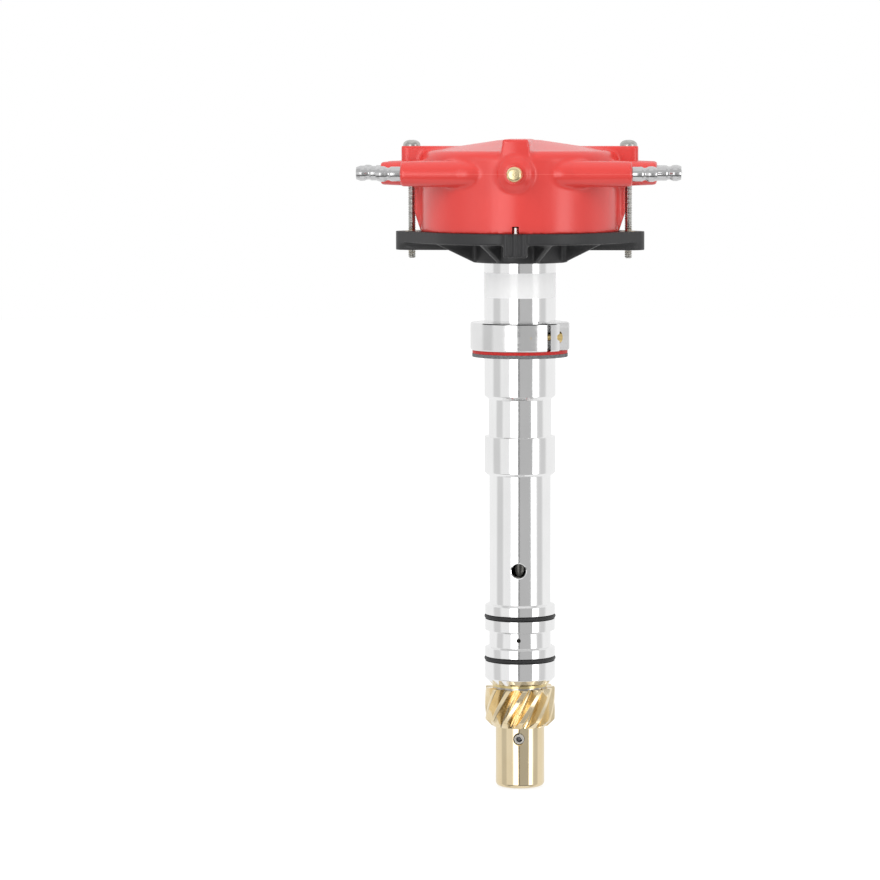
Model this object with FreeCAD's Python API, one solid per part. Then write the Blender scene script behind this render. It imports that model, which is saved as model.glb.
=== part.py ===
import FreeCAD, Part

import math
import os

from FreeCAD import Vector

# An ignition distributor for an eight-cylinder engine, in millimetres.
# Height 0 is the manifold face, under the gaskets. The shaft turns about Z.
# The coil terminal is at the front, towards -Y, and the plug terminals point along X.

# Fits
running_gap = 0.04
slip_gap = 0.05
end_play = 0.08
soft_gap = 0.3

# Housing, one turned bar of aluminium, from the manifold face down
barrel_radius = 16.5
barrel_below_face = 18.0
barrel_chamfer = 1.6
neck_radius = 14.55
neck_length = 17.2
stop_band_radius = 16.45
stop_band_length = 17.8
stop_band_chamfer = 1.2
lower_barrel_radius = 14.25
lower_barrel_length = 59.8
journal_radius = 16.25
journal_chamfer = 0.7
top_land = 5.0
upper_land = 5.2
lower_land = 4.1
bottom_land = 7.8
oil_groove_depth = 1.95
oil_groove_width = 8.1
oil_groove_slope = 0.5
nose_radius = 13.4
nose_length = 2.9
bore_radius = 8.5
inspection_hole_radius = 3.375
inspection_hole_below_band = 43.6
oil_hole_radius = 0.8

# O-rings in the journal
o_ring_section = 1.86
o_ring_proud = 0.3
o_ring_groove_width = 2.2

# Lower bushing and thrust washer
bushing_radius = 9.5
bushing_length = 44.0
bushing_flange_radius = 12.7
bushing_flange_thickness = 1.2
washer_radius = 12.2
washer_thickness = 0.52

# Drive gear with its hub, and the pin that holds it on the shaft
tooth_count = 13
gear_radius = 16.2
tooth_depth = 4.3
tooth_tip_width = 1.9
tooth_mid_width = 3.5
tooth_root_width = 4.3
helix_angle = 33.0
tooth_turn = -9.0
helix_steps = 5
gear_length = 18.0
gear_top_chamfer = 0.8
gear_bottom_chamfer = 3.0
hub_radius = 11.35
hub_length = 28.4
hub_edge = 1.6
roll_pin_radius = 2.55
roll_pin_bore = 0.95
roll_pin_below_gear = 5.1
roll_pin_recess = 0.7
roll_pin_chamfer = 0.4

# Shaft, with a slotted end for the oil pump's drive
shaft_radius = 6.35
pump_socket_radius = 6.6
pump_socket_depth = 6.0
pump_slot_width = 5.0
pump_slot_depth = 8.0

# Head of the housing, with the ball bearing in it
head_radius = 24.0
head_thickness = 4.0
head_screw_count = 4
head_screw_turn = 45.0
head_screw_circle = 19.3
head_screw_radius = 1.5
head_screw_grip = 8.0
head_screw_cap_radius = 2.75
head_screw_cap_height = 2.0
bearing_radius = 14.2875
bearing_width = 7.94
bearing_outer_shoulder = 11.9
bearing_inner_shoulder = 8.75
ball_count = 9
ball_radius = 2.38
cage_wall = 1.2
cage_height = 5.8
retaining_ring_thickness = 1.2
retaining_ring_width = 2.4
retaining_ring_gap = 9.0
retaining_ring_bite = 1.1
retaining_ring_cover = 0.8
snap_ring_thickness = 1.0
snap_ring_width = 2.1
snap_ring_gap = 4.0
snap_ring_bite = 0.5

# Base, moulded in black plastic, with two ears for the cap's screws
base_hub_height = 43.4
base_hub_radius = 22.0
base_hub_depth = 9.1
base_plate_radius = 47.0
base_plate_thickness = 5.2
base_floor_thickness = 2.5
base_dish_radius = 38.0
base_ring_height = 2.0
ear_reach = 50.0
ear_radius = 7.2
ear_thickness = 8.6
ear_rib_start = 30.0
web_angles = (22.5, 67.5, 112.5, 157.5)
web_thickness = 2.2
web_reach = 41.5
boss_width = 10.6
boss_depth = 10.7
boss_ridge_radius = 1.4
boss_ridge_pitch = 4.0
insert_radius = 3.5
locating_pin_radius = 1.0
locating_pin_depth = 4.0
locating_pin_height = 2.8

# Cap, moulded in red plastic
cap_radius = 45.5
cap_wall = 3.5
cap_skirt_height = 32.9
cap_shoulder = 5.0
cap_shoulder_rise = 4.2
cap_cone_rise = 4.7
cap_crown_radius = 9.0
arm_height = 26.7
terminal_circle = 39.5
terminal_count = 8
arm_root_radius = 6.5
outer_arm_end = 52.1
outer_arm_end_radius = 5.6
middle_arm_end = 62.8
middle_arm_end_radius = 5.2
arm_edge = 0.7
arm_inner_wall = 4.0
cap_ear_start = 25.0
cap_ear_end = 54.3
cap_ear_width = 12.0
cap_ear_top = 39.0
cap_ear_depth = 18.0
cap_ear_corner = 2.5
gusset_reach = 48.4
gusset_width = 8.0
gusset_taper_start = 8.8
spine_top_width = 11.5
spine_base_width = 15.2
spine_rise = 0.45
tower_base_radius = 8.5
tower_flare = 4.5
tower_rounding = 2.25
tower_middle_radius = 7.0
tower_end = 48.5
tower_end_radius = 5.25
notch_width = 3.3
notch_height = 3.3

# Screws of the cap
cap_screw_reach = 49.8
cap_screw_radius = 1.75
cap_screw_hole_gap = 0.15
cap_screw_below_base = 3.8
cap_screw_head_radius = 4.0
cap_screw_head_height = 2.8
cap_screw_recess_width = 1.0
cap_screw_recess_depth = 1.3
cap_screw_recess_span = 4.2

# Terminals: a collar, a neck, a bulge that the plug boot snaps over, and a taper
terminal_collar_radius = 3.5
terminal_collar_length = 4.3
terminal_neck_radius = 2.85
terminal_neck_length = 1.8
terminal_bulge_radius = 3.3
terminal_bulge_rise = 1.44
terminal_bulge_length = 1.44
terminal_tip_radius = 2.1
terminal_taper_length = 2.52
terminal_stem_radius = 1.5
electrode_radius = 2.0
electrode_drop = 14.5

# Rotor and its carrier on the shaft's top
carrier_gap = 1.2
carrier_hub_radius = 9.5
carrier_height = 5.3
carrier_plate_radius = 22.0
carrier_plate_thickness = 2.5
rotor_angle = -67.5
rotor_radius = 24.0
rotor_disc_thickness = 4.0
rotor_arm_rise = 3.5
rotor_arm_width = 13.0
rotor_arm_length = 33.0
rotor_boss_radius = 9.0
rotor_screw_reach = 16.0
rotor_screw_radius = 2.0
rotor_screw_head_radius = 3.5
rotor_screw_head_height = 2.4
spark_gap = 0.7
rotor_tip_width = 8.0
rotor_tip_thickness = 1.2
rotor_tip_tail = 6.0
contact_radius = 4.0
contact_top_radius = 3.0
contact_height = 1.5

# Carbon brush and its spring in the cap's middle
brush_radius = 3.0
brush_length = 11.0
brush_boss_radius = 6.0
brush_boss_drop = 5.0
brush_bore_cover = 5.5
brush_spring_wire = 0.45
brush_spring_turns = 6

# Slip collar with its clamp screw, and the two gaskets under it
collar_radius = 22.95
collar_height = 12.7
collar_split = 2.0
collar_split_angle = -52.0
collar_edge = 0.5
clamp_screw_radius = 1.5
clamp_screw_length = 14.0
clamp_screw_head_radius = 2.75
clamp_screw_head_height = 3.0
clamp_screw_seat = 5.0
clamp_screw_socket = 1.25
clamp_spot_depth = 1.6
gasket_thickness = 1.6
red_gasket_radius = 21.95
grey_gasket_radius = 22.05

# Heights down the housing, worked out from the lengths
barrel_end = -barrel_below_face
neck_start = barrel_end - barrel_chamfer
neck_end = neck_start - neck_length
band_end = neck_end - stop_band_length
journal_start = band_end - lower_barrel_length
upper_ring_top = journal_start - top_land
upper_ring_low = upper_ring_top - o_ring_groove_width
oil_groove_top = upper_ring_low - upper_land
oil_groove_low = oil_groove_top - oil_groove_width
lower_ring_top = oil_groove_low - lower_land
lower_ring_low = lower_ring_top - o_ring_groove_width
nose_start = lower_ring_low - bottom_land
housing_end = nose_start - nose_length
bushing_end = housing_end - bushing_flange_thickness
bushing_top = housing_end + bushing_length
washer_top = bushing_end - end_play
gear_top = washer_top - washer_thickness
gear_end = gear_top - gear_length
hub_end = gear_end - hub_length
shaft_end = hub_end + pump_socket_depth
roll_pin_height = gear_end - roll_pin_below_gear
inspection_hole_height = band_end - inspection_hole_below_band
oil_hole_height = (oil_groove_top + oil_groove_low) / 2
o_ring_seat = journal_radius + o_ring_proud - o_ring_section

# Heights up through the base, the head and the rotor
plate_low = base_hub_height + base_hub_depth
base_top = plate_low + base_plate_thickness
floor_top = plate_low + base_floor_thickness
ear_low = base_top - ear_thickness
head_top = floor_top + head_thickness
ring_groove_top = head_top - retaining_ring_cover
ring_groove_low = ring_groove_top - retaining_ring_thickness
bearing_low = ring_groove_low - bearing_width
ball_height = bearing_low + bearing_width / 2
ball_circle = (bearing_radius + shaft_radius) / 2
carrier_low = head_top + carrier_gap
carrier_top = carrier_low + carrier_height
rotor_disc_top = carrier_top + rotor_disc_thickness
rotor_top = rotor_disc_top + rotor_arm_rise
tip_top = rotor_top + rotor_tip_thickness
contact_top = tip_top + contact_height
tip_reach = terminal_circle - electrode_radius - spark_gap

# Heights in the cap
cap_inside = cap_radius - cap_wall
shoulder_low = base_top + cap_skirt_height
shoulder_top = shoulder_low + cap_shoulder_rise
crown_height = shoulder_top + cap_cone_rise
spine_top = crown_height + spine_rise
arm_axis = base_top + arm_height
ear_top = base_top + cap_ear_top
inner_crown = crown_height - cap_wall
brush_bore_radius = brush_radius + running_gap
brush_bore_top = crown_height - brush_bore_cover
brush_low = contact_top + end_play
brush_top = brush_low + brush_length
brush_boss_low = arm_axis - brush_boss_drop


def box(x_low, x_high, y_low, y_high, z_low, z_high):
    """A block between two corners."""
    corner = Vector(x_low, y_low, z_low)
    return Part.makeBox(x_high - x_low, y_high - y_low, z_high - z_low, corner)


def rod(radius, low, high, x=0.0, y=0.0):
    """A round bar along Z."""
    return Part.makeCylinder(radius, high - low, Vector(x, y, low))


def turned(points):
    """A solid turned about the shaft's axis from an outline of (radius, height) points."""
    corners = [Vector(radius, 0, height) for radius, height in points]
    face = Part.Face(Part.makePolygon(corners + corners[:1]))
    return face.revolve(Vector(0, 0, 0), Vector(0, 0, 1), 360)


def ring(inner, outer, low, high):
    """A flat ring about the shaft's axis."""
    return turned([(inner, low), (outer, low), (outer, high), (inner, high)])


def spindle(points, start, direction):
    """A solid turned about the line from start along direction, from (distance, radius) points."""
    corners = [Vector(distance, radius, 0) for distance, radius in points]
    face = Part.Face(Part.makePolygon(corners + corners[:1]))
    solid = face.revolve(Vector(0, 0, 0), Vector(1, 0, 0), 360)
    solid.Placement = FreeCAD.Placement(start, FreeCAD.Rotation(Vector(1, 0, 0), direction))
    return solid


def about_axis(shape, degrees):
    """A copy of a shape, turned about the shaft's axis."""
    copy = shape.copy()
    copy.rotate(Vector(0, 0, 0), Vector(0, 0, 1), degrees)
    return copy


def prism(points, low, high):
    """A straight-sided solid along Z from an outline of (x, y) points."""
    corners = [Vector(x, y, low) for x, y in points]
    face = Part.Face(Part.makePolygon(corners + corners[:1]))
    return face.extrude(Vector(0, 0, high - low))


def make_housing():
    groove_radius = journal_radius - oil_groove_depth
    ring_groove_radius = bearing_radius + retaining_ring_bite
    outside = [
        (head_radius, head_top),
        (head_radius, floor_top),
        (barrel_radius, floor_top),
        (barrel_radius, barrel_end),
        (neck_radius, neck_start),
        (neck_radius, neck_end),
        (stop_band_radius, neck_end),
        (stop_band_radius, band_end + stop_band_chamfer),
        (stop_band_radius - stop_band_chamfer, band_end),
        (lower_barrel_radius, band_end),
        (lower_barrel_radius, journal_start),
        (journal_radius, journal_start - journal_chamfer),
        (journal_radius, upper_ring_top),
        (o_ring_seat, upper_ring_top),
        (o_ring_seat, upper_ring_low),
        (journal_radius, upper_ring_low),
        (journal_radius, oil_groove_top),
        (groove_radius, oil_groove_top - oil_groove_slope),
        (groove_radius, oil_groove_low + oil_groove_slope),
        (journal_radius, oil_groove_low),
        (journal_radius, lower_ring_top),
        (o_ring_seat, lower_ring_top),
        (o_ring_seat, lower_ring_low),
        (journal_radius, lower_ring_low),
        (journal_radius, nose_start),
        (nose_radius, housing_end),
    ]
    inside = [
        (bushing_radius, housing_end),
        (bushing_radius, bushing_top),
        (bore_radius, bushing_top),
        (bore_radius, bearing_low),
        (bearing_radius, bearing_low),
        (bearing_radius, ring_groove_low),
        (ring_groove_radius, ring_groove_low),
        (ring_groove_radius, ring_groove_top),
        (bearing_radius, ring_groove_top),
        (bearing_radius, head_top),
    ]
    housing = turned(outside + inside)
    for radius, height in (
        (inspection_hole_radius, inspection_hole_height),
        (oil_hole_radius, oil_hole_height),
    ):
        start = Vector(0, 0, height)
        housing = housing.cut(Part.makeCylinder(radius, 2 * journal_radius, start, Vector(0, -1, 0)))
    for x, y in screw_places():
        housing = housing.cut(rod(head_screw_radius + slip_gap, floor_top, head_top, x, y))
    return housing


def screw_places():
    """The places of the screws that hold the housing's head to the base."""
    places = []
    for index in range(head_screw_count):
        angle = math.radians(head_screw_turn + index * 360.0 / head_screw_count)
        places.append((head_screw_circle * math.cos(angle), head_screw_circle * math.sin(angle)))
    return places


def make_head_screws():
    screws = []
    for x, y in screw_places():
        shank = rod(head_screw_radius, floor_top - head_screw_grip, head_top, x, y)
        cap_head = rod(head_screw_cap_radius, head_top, head_top + head_screw_cap_height, x, y)
        socket = rod(head_screw_radius, head_top + head_screw_cap_height / 2, carrier_top, x, y)
        screws.append(shank.fuse(cap_head).removeSplitter().cut(socket))
    return Part.makeCompound(screws)


def make_bushing():
    bore = shaft_radius + running_gap
    outline = [
        (bore, bushing_end),
        (bushing_flange_radius, bushing_end),
        (bushing_flange_radius, housing_end),
        (bushing_radius, housing_end),
        (bushing_radius, bushing_top),
        (bore, bushing_top),
    ]
    start = Vector(0, 0, oil_hole_height)
    oil_hole = Part.makeCylinder(oil_hole_radius, 2 * bushing_radius, start, Vector(0, -1, 0))
    return turned(outline).cut(oil_hole)


def make_o_ring(groove_top, groove_low):
    section = o_ring_section / 2
    return Part.makeTorus(o_ring_seat + section, section, Vector(0, 0, (groove_top + groove_low) / 2))


def split_ring(inner, outer, low, high, gap):
    """A spring ring that is open at the back."""
    return ring(inner, outer, low, high).cut(box(-gap / 2, gap / 2, 0, 2 * outer, low, high))


def make_retaining_ring():
    outer = bearing_radius + retaining_ring_bite - slip_gap
    return split_ring(outer - retaining_ring_width, outer, ring_groove_low, ring_groove_top, retaining_ring_gap)


def make_snap_ring():
    inner = shaft_radius - snap_ring_bite
    low = ring_groove_low
    return split_ring(inner, inner + snap_ring_width, low, low + snap_ring_thickness, snap_ring_gap)


def ball_track():
    """The round track that the balls run in."""
    return Part.makeTorus(ball_circle, ball_radius + slip_gap, Vector(0, 0, ball_height))


def make_outer_race():
    return ring(bearing_outer_shoulder, bearing_radius, bearing_low, ring_groove_low).cut(ball_track())


def make_inner_race():
    return ring(shaft_radius, bearing_inner_shoulder, bearing_low, ring_groove_low).cut(ball_track())


def make_balls():
    ball = Part.makeSphere(ball_radius, Vector(ball_circle, 0, ball_height))
    return Part.makeCompound([about_axis(ball, index * 360.0 / ball_count) for index in range(ball_count)])


def make_cage():
    """A thin ring with a round pocket for each ball."""
    low = ball_height - cage_height / 2
    cage = ring(ball_circle - cage_wall / 2, ball_circle + cage_wall / 2, low, low + cage_height)
    for index in range(ball_count):
        pocket = Part.makeCylinder(ball_radius + slip_gap, ball_circle + cage_wall,
                                   Vector(0, 0, ball_height), Vector(1, 0, 0))
        cage = cage.cut(about_axis(pocket, index * 360.0 / ball_count))
    return cage


def gear_section(height):
    """The outline of the gear's teeth at one height, turned on along the helix."""
    pitch = 2 * math.pi / tooth_count
    turned_on = (height - gear_end) * math.tan(math.radians(helix_angle)) / gear_radius
    twist = math.radians(tooth_turn) + turned_on
    root = gear_radius - tooth_depth
    middle = gear_radius - tooth_depth / 2
    flank = [
        (root, -tooth_root_width / 2 / root),
        (middle, -tooth_mid_width / 2 / middle),
        (gear_radius, -tooth_tip_width / 2 / gear_radius),
        (gear_radius, tooth_tip_width / 2 / gear_radius),
        (middle, tooth_mid_width / 2 / middle),
        (root, tooth_root_width / 2 / root),
    ]
    corners = []
    for tooth in range(tooth_count):
        for radius, offset in flank:
            angle = tooth * pitch + offset + twist
            corners.append(Vector(radius * math.cos(angle), radius * math.sin(angle), height))
    return Part.makePolygon(corners + corners[:1])


def make_gear():
    sections = []
    for step in range(helix_steps + 1):
        sections.append(gear_section(gear_end + gear_length * step / helix_steps))
    teeth = Part.makeLoft(sections, True, True)
    blank = turned([
        (0, gear_end),
        (gear_radius - gear_bottom_chamfer, gear_end),
        (gear_radius + slip_gap, gear_end + gear_bottom_chamfer),
        (gear_radius + slip_gap, gear_top - gear_top_chamfer),
        (gear_radius - gear_top_chamfer, gear_top),
        (0, gear_top),
    ])
    hub = turned([
        (0, gear_end),
        (hub_radius, gear_end),
        (hub_radius, hub_end + hub_edge),
        (hub_radius - hub_edge, hub_end),
        (0, hub_end),
    ])
    gear = teeth.common(blank).fuse(hub)
    gear = gear.cut(rod(shaft_radius, shaft_end, gear_top))
    gear = gear.cut(rod(pump_socket_radius, hub_end, shaft_end))
    return gear.cut(roll_pin_hole())


def roll_pin_hole():
    """The cross hole for the roll pin, with its mouths chamfered."""
    mouth = roll_pin_radius + roll_pin_chamfer
    outline = [
        (-hub_radius, 0),
        (-hub_radius, mouth),
        (-hub_radius + roll_pin_chamfer, roll_pin_radius),
        (hub_radius - roll_pin_chamfer, roll_pin_radius),
        (hub_radius, mouth),
        (hub_radius, 0),
    ]
    return spindle(outline, Vector(0, 0, roll_pin_height), Vector(0, 1, 0))


def make_roll_pin():
    half = hub_radius - roll_pin_recess
    start = Vector(0, -half, roll_pin_height)
    pin = Part.makeCylinder(roll_pin_radius, 2 * half, start, Vector(0, 1, 0))
    return pin.cut(Part.makeCylinder(roll_pin_bore, 2 * half, start, Vector(0, 1, 0)))


def make_shaft():
    shaft = rod(shaft_radius, shaft_end, carrier_top)
    slot_top = shaft_end + pump_slot_depth
    half = pump_slot_width / 2
    shaft = shaft.cut(box(-half, half, -shaft_radius, shaft_radius, shaft_end, slot_top))
    groove = ring(shaft_radius - snap_ring_bite, 2 * shaft_radius, ring_groove_low,
                  ring_groove_low + snap_ring_thickness)
    return shaft.cut(groove).cut(roll_pin_hole())


def plate_outline():
    """The base plate's outline: a disc with an ear on each side, joined by tangents."""
    angle = math.acos((base_plate_radius - ear_radius) / ear_reach)
    disc_x = base_plate_radius * math.cos(angle)
    disc_y = base_plate_radius * math.sin(angle)
    ear_x = ear_reach + ear_radius * math.cos(angle)
    ear_y = ear_radius * math.sin(angle)
    tip = ear_reach + ear_radius
    points = {
        "front_right": Vector(disc_x, -disc_y, 0),
        "ear_right_front": Vector(ear_x, -ear_y, 0),
        "ear_right_back": Vector(ear_x, ear_y, 0),
        "back_right": Vector(disc_x, disc_y, 0),
        "back_left": Vector(-disc_x, disc_y, 0),
        "ear_left_back": Vector(-ear_x, ear_y, 0),
        "ear_left_front": Vector(-ear_x, -ear_y, 0),
        "front_left": Vector(-disc_x, -disc_y, 0),
    }
    edges = [
        Part.LineSegment(points["front_right"], points["ear_right_front"]),
        Part.Arc(points["ear_right_front"], Vector(tip, 0, 0), points["ear_right_back"]),
        Part.LineSegment(points["ear_right_back"], points["back_right"]),
        Part.Arc(points["back_right"], Vector(0, base_plate_radius, 0), points["back_left"]),
        Part.LineSegment(points["back_left"], points["ear_left_back"]),
        Part.Arc(points["ear_left_back"], Vector(-tip, 0, 0), points["ear_left_front"]),
        Part.LineSegment(points["ear_left_front"], points["front_left"]),
        Part.Arc(points["front_left"], Vector(0, -base_plate_radius, 0), points["front_right"]),
    ]
    return Part.Wire([edge.toShape() for edge in edges])


def make_web(degrees):
    """A stiffening web under the base plate, its lower edge sloping up from the hub."""
    half = web_thickness / 2
    inner = barrel_radius + slip_gap
    corners = [
        Vector(inner, -half, base_hub_height),
        Vector(base_hub_radius, -half, base_hub_height),
        Vector(web_reach, -half, plate_low),
        Vector(inner, -half, plate_low),
    ]
    face = Part.Face(Part.makePolygon(corners + corners[:1]))
    return about_axis(face.extrude(Vector(0, web_thickness, 0)), degrees)


def make_base():
    plate = Part.Face(plate_outline()).extrude(Vector(0, 0, base_plate_thickness))
    plate.translate(Vector(0, 0, plate_low))
    base = plate.fuse(rod(base_hub_radius, base_hub_height, floor_top))
    for side in (-1, 1):
        ear = rod(ear_radius, ear_low, base_top, side * ear_reach)
        rib_ends = sorted((side * ear_rib_start, side * ear_reach))
        base = base.fuse(ear).fuse(box(rib_ends[0], rib_ends[1], -ear_radius, ear_radius, ear_low, base_top))
        for angle in web_angles:
            base = base.fuse(make_web(-90.0 + side * angle))
    boss_low = base_top - boss_depth
    base = base.fuse(box(-boss_width / 2, boss_width / 2, -base_plate_radius, -base_dish_radius, boss_low, base_top))
    for place in (-1, 0, 1):
        base = base.fuse(rod(boss_ridge_radius, boss_low, base_top, place * boss_ridge_pitch, -base_plate_radius))
    locating_ring = ring(base_dish_radius, cap_inside - soft_gap, base_top, base_top + base_ring_height)
    base = base.fuse(locating_ring)
    base = base.cut(rod(base_dish_radius, floor_top, base_top + base_ring_height))
    base = base.cut(rod(barrel_radius + slip_gap, base_hub_height, floor_top))
    for x, y in screw_places():
        base = base.cut(rod(head_screw_radius, floor_top - head_screw_grip, floor_top, x, y))
    for side in (-1, 1):
        base = base.cut(rod(insert_radius, ear_low, base_top, side * cap_screw_reach))
    pin_low = base_top - locating_pin_depth
    base = base.cut(rod(locating_pin_radius, pin_low, base_top, 0, -locating_pin_place()))
    return base.removeSplitter()


def locating_pin_place():
    """The pin stands in the middle of the cap's wall."""
    return cap_radius - cap_wall / 2


def make_locating_pin():
    low = base_top - locating_pin_depth
    return rod(locating_pin_radius, low, base_top + locating_pin_height, 0, -locating_pin_place())


def make_inserts():
    inserts = []
    for side in (-1, 1):
        sleeve = rod(insert_radius, ear_low, base_top, side * cap_screw_reach)
        bore = rod(cap_screw_radius + running_gap, ear_low, base_top, side * cap_screw_reach)
        inserts.append(sleeve.cut(bore))
    return Part.makeCompound(inserts)


def terminal_places():
    """Each plug terminal: the side that it points to, its place on the circle and its arm's sizes."""
    places = []
    for index in range(terminal_count):
        angle = math.radians((index + 0.5) * 360.0 / terminal_count)
        x = terminal_circle * math.cos(angle)
        y = terminal_circle * math.sin(angle)
        side = 1 if x > 0 else -1
        if abs(y) > abs(x):
            places.append((side, x, y, outer_arm_end, outer_arm_end_radius))
        else:
            places.append((side, x, y, middle_arm_end, middle_arm_end_radius))
    return places


def terminal_outline(stem):
    """The outline of a terminal and its stem, from (distance past the arm's end, radius) points."""
    neck = terminal_collar_length + terminal_neck_length
    bulge = neck + terminal_bulge_rise
    taper = bulge + terminal_bulge_length
    tip = taper + terminal_taper_length
    return [
        (-stem, 0),
        (-stem, terminal_stem_radius),
        (0, terminal_stem_radius),
        (0, terminal_collar_radius),
        (terminal_collar_length, terminal_collar_radius),
        (neck, terminal_neck_radius),
        (bulge, terminal_bulge_radius),
        (taper, terminal_bulge_radius),
        (tip, terminal_tip_radius),
        (tip, 0),
    ]


def make_plug_terminal(side, x, y, arm_end):
    """A plug terminal, its stem moulded into the arm and its electrode hanging beside the rotor's path."""
    start = Vector(side * arm_end, y, arm_axis)
    body = spindle(terminal_outline(arm_end - abs(x)), start, Vector(side, 0, 0))
    electrode = rod(electrode_radius, arm_axis - electrode_drop, arm_axis + electrode_radius, x, y)
    return body.fuse(electrode)


def make_coil_terminal():
    stem = tower_end - brush_bore_radius - slip_gap
    start = Vector(0, -tower_end, arm_axis)
    return spindle(terminal_outline(stem), start, Vector(0, -1, 0))


def make_arm(side, x, y, arm_end, end_radius):
    """A tapered arm of the cap, from inside the wall to the end that a plug boot pushes over."""
    length = arm_end - abs(x) + arm_inner_wall
    outline = [
        (0, 0),
        (0, arm_root_radius),
        (length - arm_edge, end_radius),
        (length, end_radius - arm_edge),
        (length, 0),
    ]
    return spindle(outline, Vector(x - side * arm_inner_wall, y, arm_axis), Vector(side, 0, 0))


def cap_body():
    """The cap's round body, solid, with its rounded shoulder and its coned roof."""
    shoulder_start = Vector(cap_radius, 0, shoulder_low)
    shoulder_end = Vector(cap_radius - cap_shoulder, 0, shoulder_top)
    middle_x = cap_radius - cap_shoulder * (1 - math.sqrt(0.5))
    middle_z = shoulder_low + cap_shoulder_rise * math.sqrt(0.5)
    edges = [
        Part.LineSegment(Vector(0, 0, base_top), Vector(cap_radius, 0, base_top)),
        Part.LineSegment(Vector(cap_radius, 0, base_top), shoulder_start),
        Part.Arc(shoulder_start, Vector(middle_x, 0, middle_z), shoulder_end),
        Part.LineSegment(shoulder_end, Vector(cap_crown_radius, 0, crown_height)),
        Part.LineSegment(Vector(cap_crown_radius, 0, crown_height), Vector(0, 0, crown_height)),
        Part.LineSegment(Vector(0, 0, crown_height), Vector(0, 0, base_top)),
    ]
    face = Part.Face(Part.Wire([edge.toShape() for edge in edges]))
    return face.revolve(Vector(0, 0, 0), Vector(0, 0, 1), 360)


def cap_cavity():
    """The space inside the cap."""
    return turned([
        (0, base_top),
        (cap_inside, base_top),
        (cap_inside, shoulder_low - cap_wall / 2),
        (cap_inside - cap_shoulder, shoulder_top - cap_wall),
        (cap_crown_radius, inner_crown),
        (0, inner_crown),
    ])


def make_cap_ear(side):
    """An ear for a cap screw, with the rib that carries it and the gusset below it."""
    corner = cap_ear_corner
    half = cap_ear_width / 2
    low = ear_top - cap_ear_depth
    outline = [
        (cap_ear_start, -half),
        (cap_ear_end - corner, -half),
        (cap_ear_end, -half + corner),
        (cap_ear_end, half - corner),
        (cap_ear_end - corner, half),
        (cap_ear_start, half),
    ]
    ear = prism(outline, low, ear_top)
    for end in (-1, 1):
        ear = ear.fuse(rod(corner, low, ear_top, cap_ear_end - corner, end * (half - corner)))
    corners = [
        Vector(cap_ear_start, -gusset_width / 2, base_top),
        Vector(cap_radius, -gusset_width / 2, base_top),
        Vector(gusset_reach, -gusset_width / 2, base_top + gusset_taper_start),
        Vector(gusset_reach, -gusset_width / 2, low),
        Vector(cap_ear_start, -gusset_width / 2, low),
    ]
    face = Part.Face(Part.makePolygon(corners + corners[:1]))
    ear = ear.fuse(face.extrude(Vector(0, gusset_width, 0))).removeSplitter()
    return ear if side > 0 else about_axis(ear, 180.0)


def make_spine():
    """The ridge on the roof that covers the lead from the coil terminal to the brush."""
    half_base = spine_base_width / 2
    half_top = spine_top_width / 2
    front = -cap_radius
    corners = [
        Vector(-half_base, front, arm_axis),
        Vector(half_base, front, arm_axis),
        Vector(half_top, front, spine_top),
        Vector(-half_top, front, spine_top),
    ]
    face = Part.Face(Part.makePolygon(corners + corners[:1]))
    spine = face.extrude(Vector(0, cap_radius, 0))
    return spine.fuse(Part.makeCone(half_base, half_top, spine_top - arm_axis, Vector(0, 0, arm_axis)))


def make_tower():
    """The tower that the coil terminal stands in, with a rounded foot on the cap's wall."""
    root = cap_inside - cap_wall
    outline = [
        (0, 0),
        (0, tower_base_radius),
        (tower_end - root - tower_flare, tower_base_radius),
        (tower_end - root - tower_rounding, tower_middle_radius),
        (tower_end - root, tower_end_radius),
        (tower_end - root, 0),
    ]
    return spindle(outline, Vector(0, -root, arm_axis), Vector(0, -1, 0))


def cap_round():
    """The round space that the cap's outer face bounds."""
    return rod(cap_radius, base_top, spine_top)


def make_cap(terminals):
    """The round body of the cap, with what its arms and ears have inside its outer face."""
    cap = cap_body().fuse([make_cap_ear(-1), make_cap_ear(1), make_spine()])
    cap = cap.cut(cap_cavity())
    cap = cap.fuse([make_arm(*place) for place in terminal_places()]).common(cap_round())
    boss = rod(brush_boss_radius, brush_boss_low, inner_crown)
    lead_rib = box(-brush_boss_radius, brush_boss_radius, -cap_inside, 0, brush_boss_low, inner_crown)
    lead_rib = lead_rib.common(cap_body())
    cap = cap.fuse([make_tower(), boss, lead_rib])
    cap = cap.cut(rod(brush_bore_radius, brush_boss_low, brush_bore_top))
    half = notch_width / 2
    cap = cap.cut(box(-half, half, -cap_radius, -cap_inside, base_top, base_top + notch_height))
    return cap.cut(terminals)


def make_cap_arms(terminals):
    """The arms outside the cap's round body, which are one moulding with it."""
    arms = [make_arm(*place).cut(cap_round()) for place in terminal_places()]
    return Part.makeCompound([arm.cut(terminals) for arm in arms])


def make_cap_ears():
    """The ears and gussets outside the cap's round body, which are one moulding with it."""
    hole = cap_screw_radius + cap_screw_hole_gap
    ears = []
    for side in (-1, 1):
        ear = make_cap_ear(side).cut(cap_round())
        ears.append(ear.cut(rod(hole, base_top, ear_top, side * cap_screw_reach)))
    return Part.makeCompound(ears)


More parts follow.
